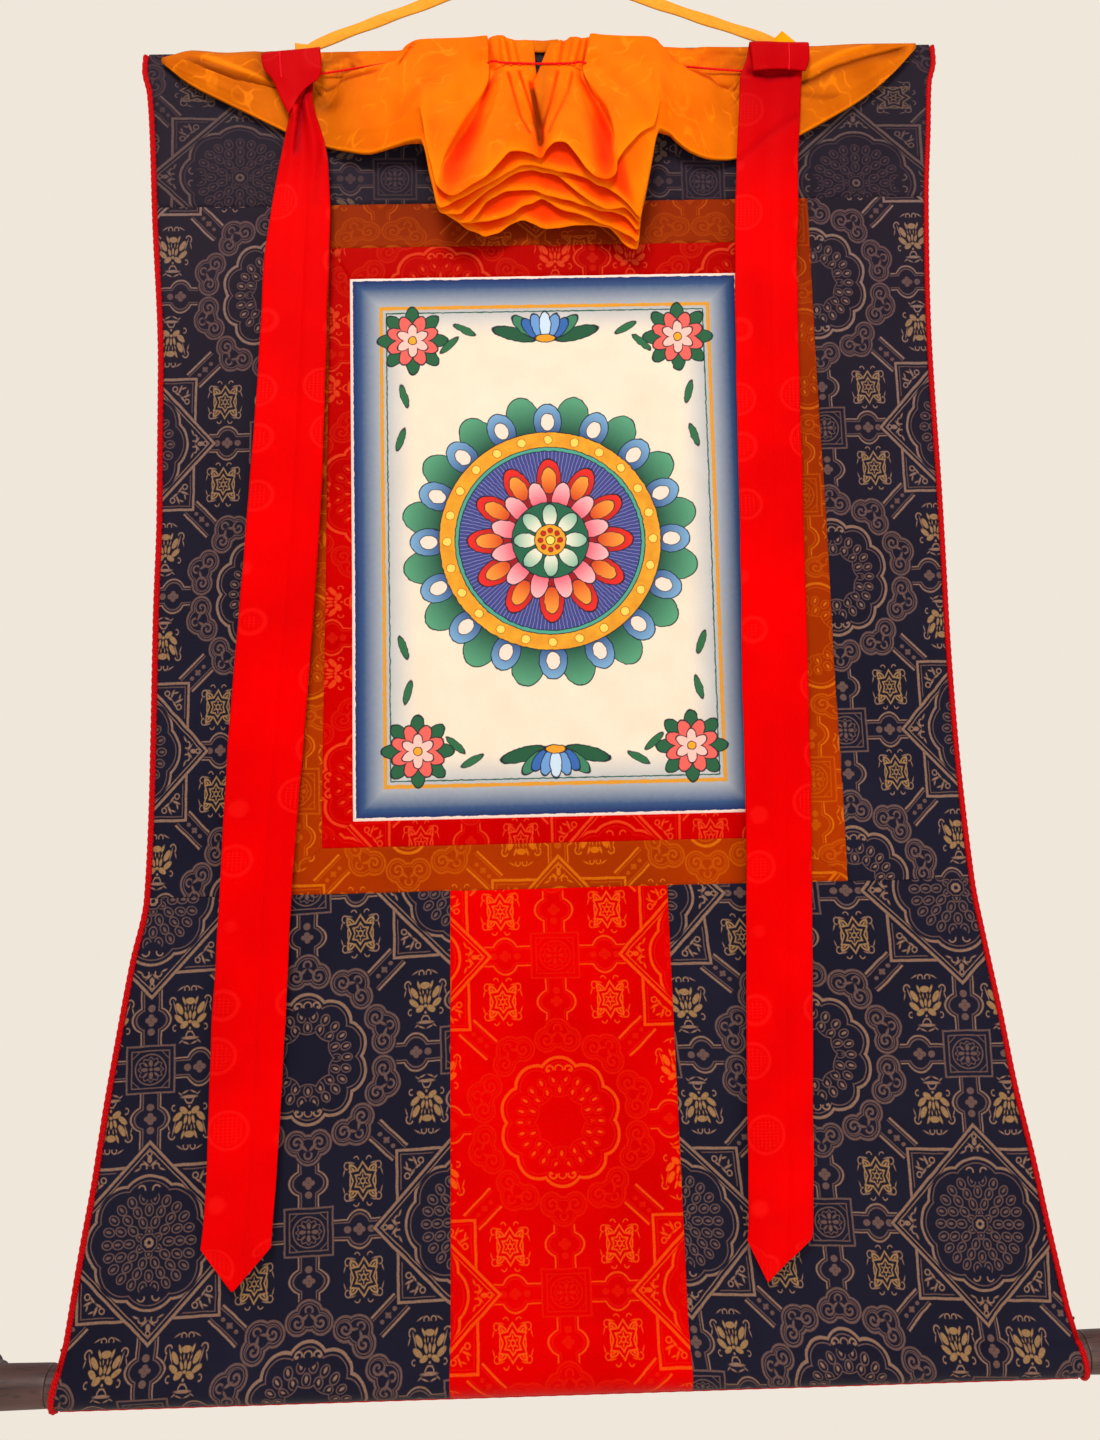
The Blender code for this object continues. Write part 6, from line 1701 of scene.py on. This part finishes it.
def crease_share(x, z, points, width, side):
    """How near places lie to a crease line: 1 on it, 0 at its width. A side limits it to below or above."""
    best = np.full(x.shape, 1e9)
    for (x0, z0), (x1, z1) in zip(points, points[1:]):
        run, rise = x1 - x0, z1 - z0
        along = np.clip(((x - x0) * run + (z - z0) * rise) / (run * run + rise * rise), 0.0, 1.0)
        gap_x, gap_z = x - x0 - along * run, z - z0 - along * rise
        distance = np.hypot(gap_x, gap_z)
        below = (z - z0) * run - (x - x0) * rise < 0
        signed = np.where(below, distance, -distance)
        best = np.where(distance < np.abs(best), signed, best)
    near = np.clip(1 - np.abs(best) / width, 0.0, 1.0)
    return near if side == 0 else np.where(best * side >= 0, near, 0.0)


def make_silk(materials):
    """Gathered silk with its creases, small unevenness, painted shade and painted highlights."""
    surface = silk_surface()
    front = 8 * FRONT_ROWS + 1
    x, z = surface[:, :front, 0] * 1000, surface[:, :front, 2] * 1000
    # Each crease presses the cloth back and adds painted shade, or a painted highlight on a ridge
    for points, width, depth, painted_shade_amount, side in CREASES:
        near = crease_share(x, z, points, width, side)
        surface[:, :front, 1] += near ** 1.4 * depth / 1000
        surface[:, :front, 3] = np.clip(surface[:, :front, 3] + near * painted_shade_amount, -0.5, 1.0)
    # Painted shade: browner out on the wings and along the listed lines
    brown_painted_shade = np.clip((np.abs(surface[:, :, 0]) - WING_START) / WING_FADE, 0.0, 1.0)
    for points, width, amount in BROWN_PAINTED_SHADES:
        near = crease_share(x, z, points, width, 0)
        brown_painted_shade[:, :front] = np.maximum(brown_painted_shade[:, :front], near ** 0.6 * amount)
    count_across, count_down = surface.shape[0] - 1, surface.shape[1] - 1
    runs = np.cumsum(np.linalg.norm(np.diff(surface[:, :, :3], axis=1), axis=2), axis=1)
    lengths = np.concatenate([np.zeros((surface.shape[0], 1)), runs], axis=1)
    middle = surface[:, surface.shape[1] // 4, :3]
    widths = np.concatenate([[0.0], np.cumsum(np.linalg.norm(np.diff(middle, axis=0), axis=1))])

    def place(across, down):
        column, row = round(across * count_across), round(down * count_down)
        x, y, z = surface[column, row, :3]
        fall = clamp((-0.086 - z) / 0.05)
        fine = (noise.noise(Vector((x * 60, z * 26, 1.0))) * 0.0007
                + noise.noise(Vector((x * 22, z * 14, 9.0))) * 0.0010)
        ragged = clamp((-0.172 - z) / 0.02) * clamp((0.088 - abs(x)) / 0.01)
        z += noise.noise(Vector((x * 85, y * 260, 4.0))) * 0.0011 * ragged
        return x, y - fine * fall if y < -0.0040 else y, z

    piece = grid("silk_cover_damask", even(count_across), even(count_down), place,
                 lambda across, down: (widths[round(across * count_across)],
                                       -lengths[round(across * count_across), round(down * count_down)]))
    # Painted shade and painted highlights, carried for the silk's colour
    carry(piece, "shade", surface[:, :, 3].T)
    carry(piece, "brown_painted_shade", brown_painted_shade.T)
    thicken(piece, SILK, materials)
    settle(piece, "silk_cover")


def make_wood(materials):
    """Grain on the CAD rod and slat, whose shapes are right."""
    for node, slot in (("bottom_rod", "turned_wood"), ("top_stick", "plain_wood")):
        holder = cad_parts[node]
        for place in holder.material_slots:
            place.material = materials[slot][0]


# ---- Studio ----

def area_light(name, place, aim, size, power, colour=(1.0, 1.0, 1.0)):
    """Rectangular light at a place, turned towards its aim."""
    data = bpy.data.lights.new(name, "AREA")
    data.energy = power
    data.shape = "RECTANGLE"
    data.size, data.size_y = size
    data.color = colour
    light = bpy.data.objects.new(name, data)
    light.location = place
    light.rotation_euler = (Vector(aim) - Vector(place)).to_track_quat("-Z", "Y").to_euler()
    bpy.context.scene.collection.objects.link(light)


def make_studio():
    """Pale backdrop, four soft lights and a floor."""
    scene = bpy.context.scene
    scene.view_settings.view_transform = "Standard"
    world = bpy.data.worlds.new("Studio")
    world.use_nodes = True
    scene.world = world
    Wire.tree = world.node_tree
    backdrop = fill(Wire.tree.nodes["Background"], Color=srgb(240, 231, 219), Strength=1.0)
    ambient = fill(draw("Background"), Color=srgb(255, 244, 232), Strength=0.34)
    seen = Wire(draw("LightPath").outputs["Is Camera Ray"])
    mixer = draw("MixShader", seen, Wire(ambient.outputs[0]), Wire(backdrop.outputs[0]))
    feed(Wire.tree.nodes["World Output"].inputs[0], Wire(mixer.outputs[0]))
    area_light("Key", (-0.35, -2.0, 1.25), (0.0, 0.0, -0.50), (1.0, 0.8), 56.0, (1.0, 0.96, 0.90))
    area_light("Fill", (1.8, -2.0, -0.2), (0.0, 0.0, -0.6), (1.4, 1.8), 12.0)
    area_light("Low", (0.25, -1.5, -1.35), (0.0, 0.0, -0.15), (1.2, 0.5), 9.0, (1.0, 0.94, 0.86))
    area_light("Back", (0.3, 2.6, 0.6), (0.0, 0.0, -0.5), (1.6, 1.6), 16.0)
    material, shader = new_material("studio_floor")
    tone = blend(noisy(place_of("Object"), 0.5), srgb(228, 222, 212), srgb(238, 232, 224))
    fill(shader, Base_Color=tone, Roughness=0.9)
    floor = grid("studio_floor", even(2), even(2),
                 lambda across, down: (-2.5 + 5.0 * across, 0.45 - 3.6 * down, -1.46),
                 lambda across, down: (across, down))
    floor.data.flip_normals()
    floor.data.materials.append(material)


def main():
    make_camera()
    materials = make_materials()
    make_tie(materials["tie_cord"])
    make_tape(materials["orange_tape"])
    make_flat_panel("picture", corners_of(PICTURE), materials["painted_canvas"],
                    CANVAS)
    make_borders("red_border", INNER_FRAME, PICTURE, materials["red_brocade"])
    make_borders("orange_border", OUTER_FRAME, INNER_FRAME, materials["orange_brocade"])
    make_top(materials["navy_brocade"])
    make_sides(materials["navy_brocade"])
    make_lower_panels(materials)
    make_pipings(materials["red_cord"])
    make_knobs(materials["turned_wood"])
    make_streamers(materials["red_silk"])
    make_silk(materials["orange_silk"])
    make_trims(materials)
    make_wood(materials)
    make_studio()


main()
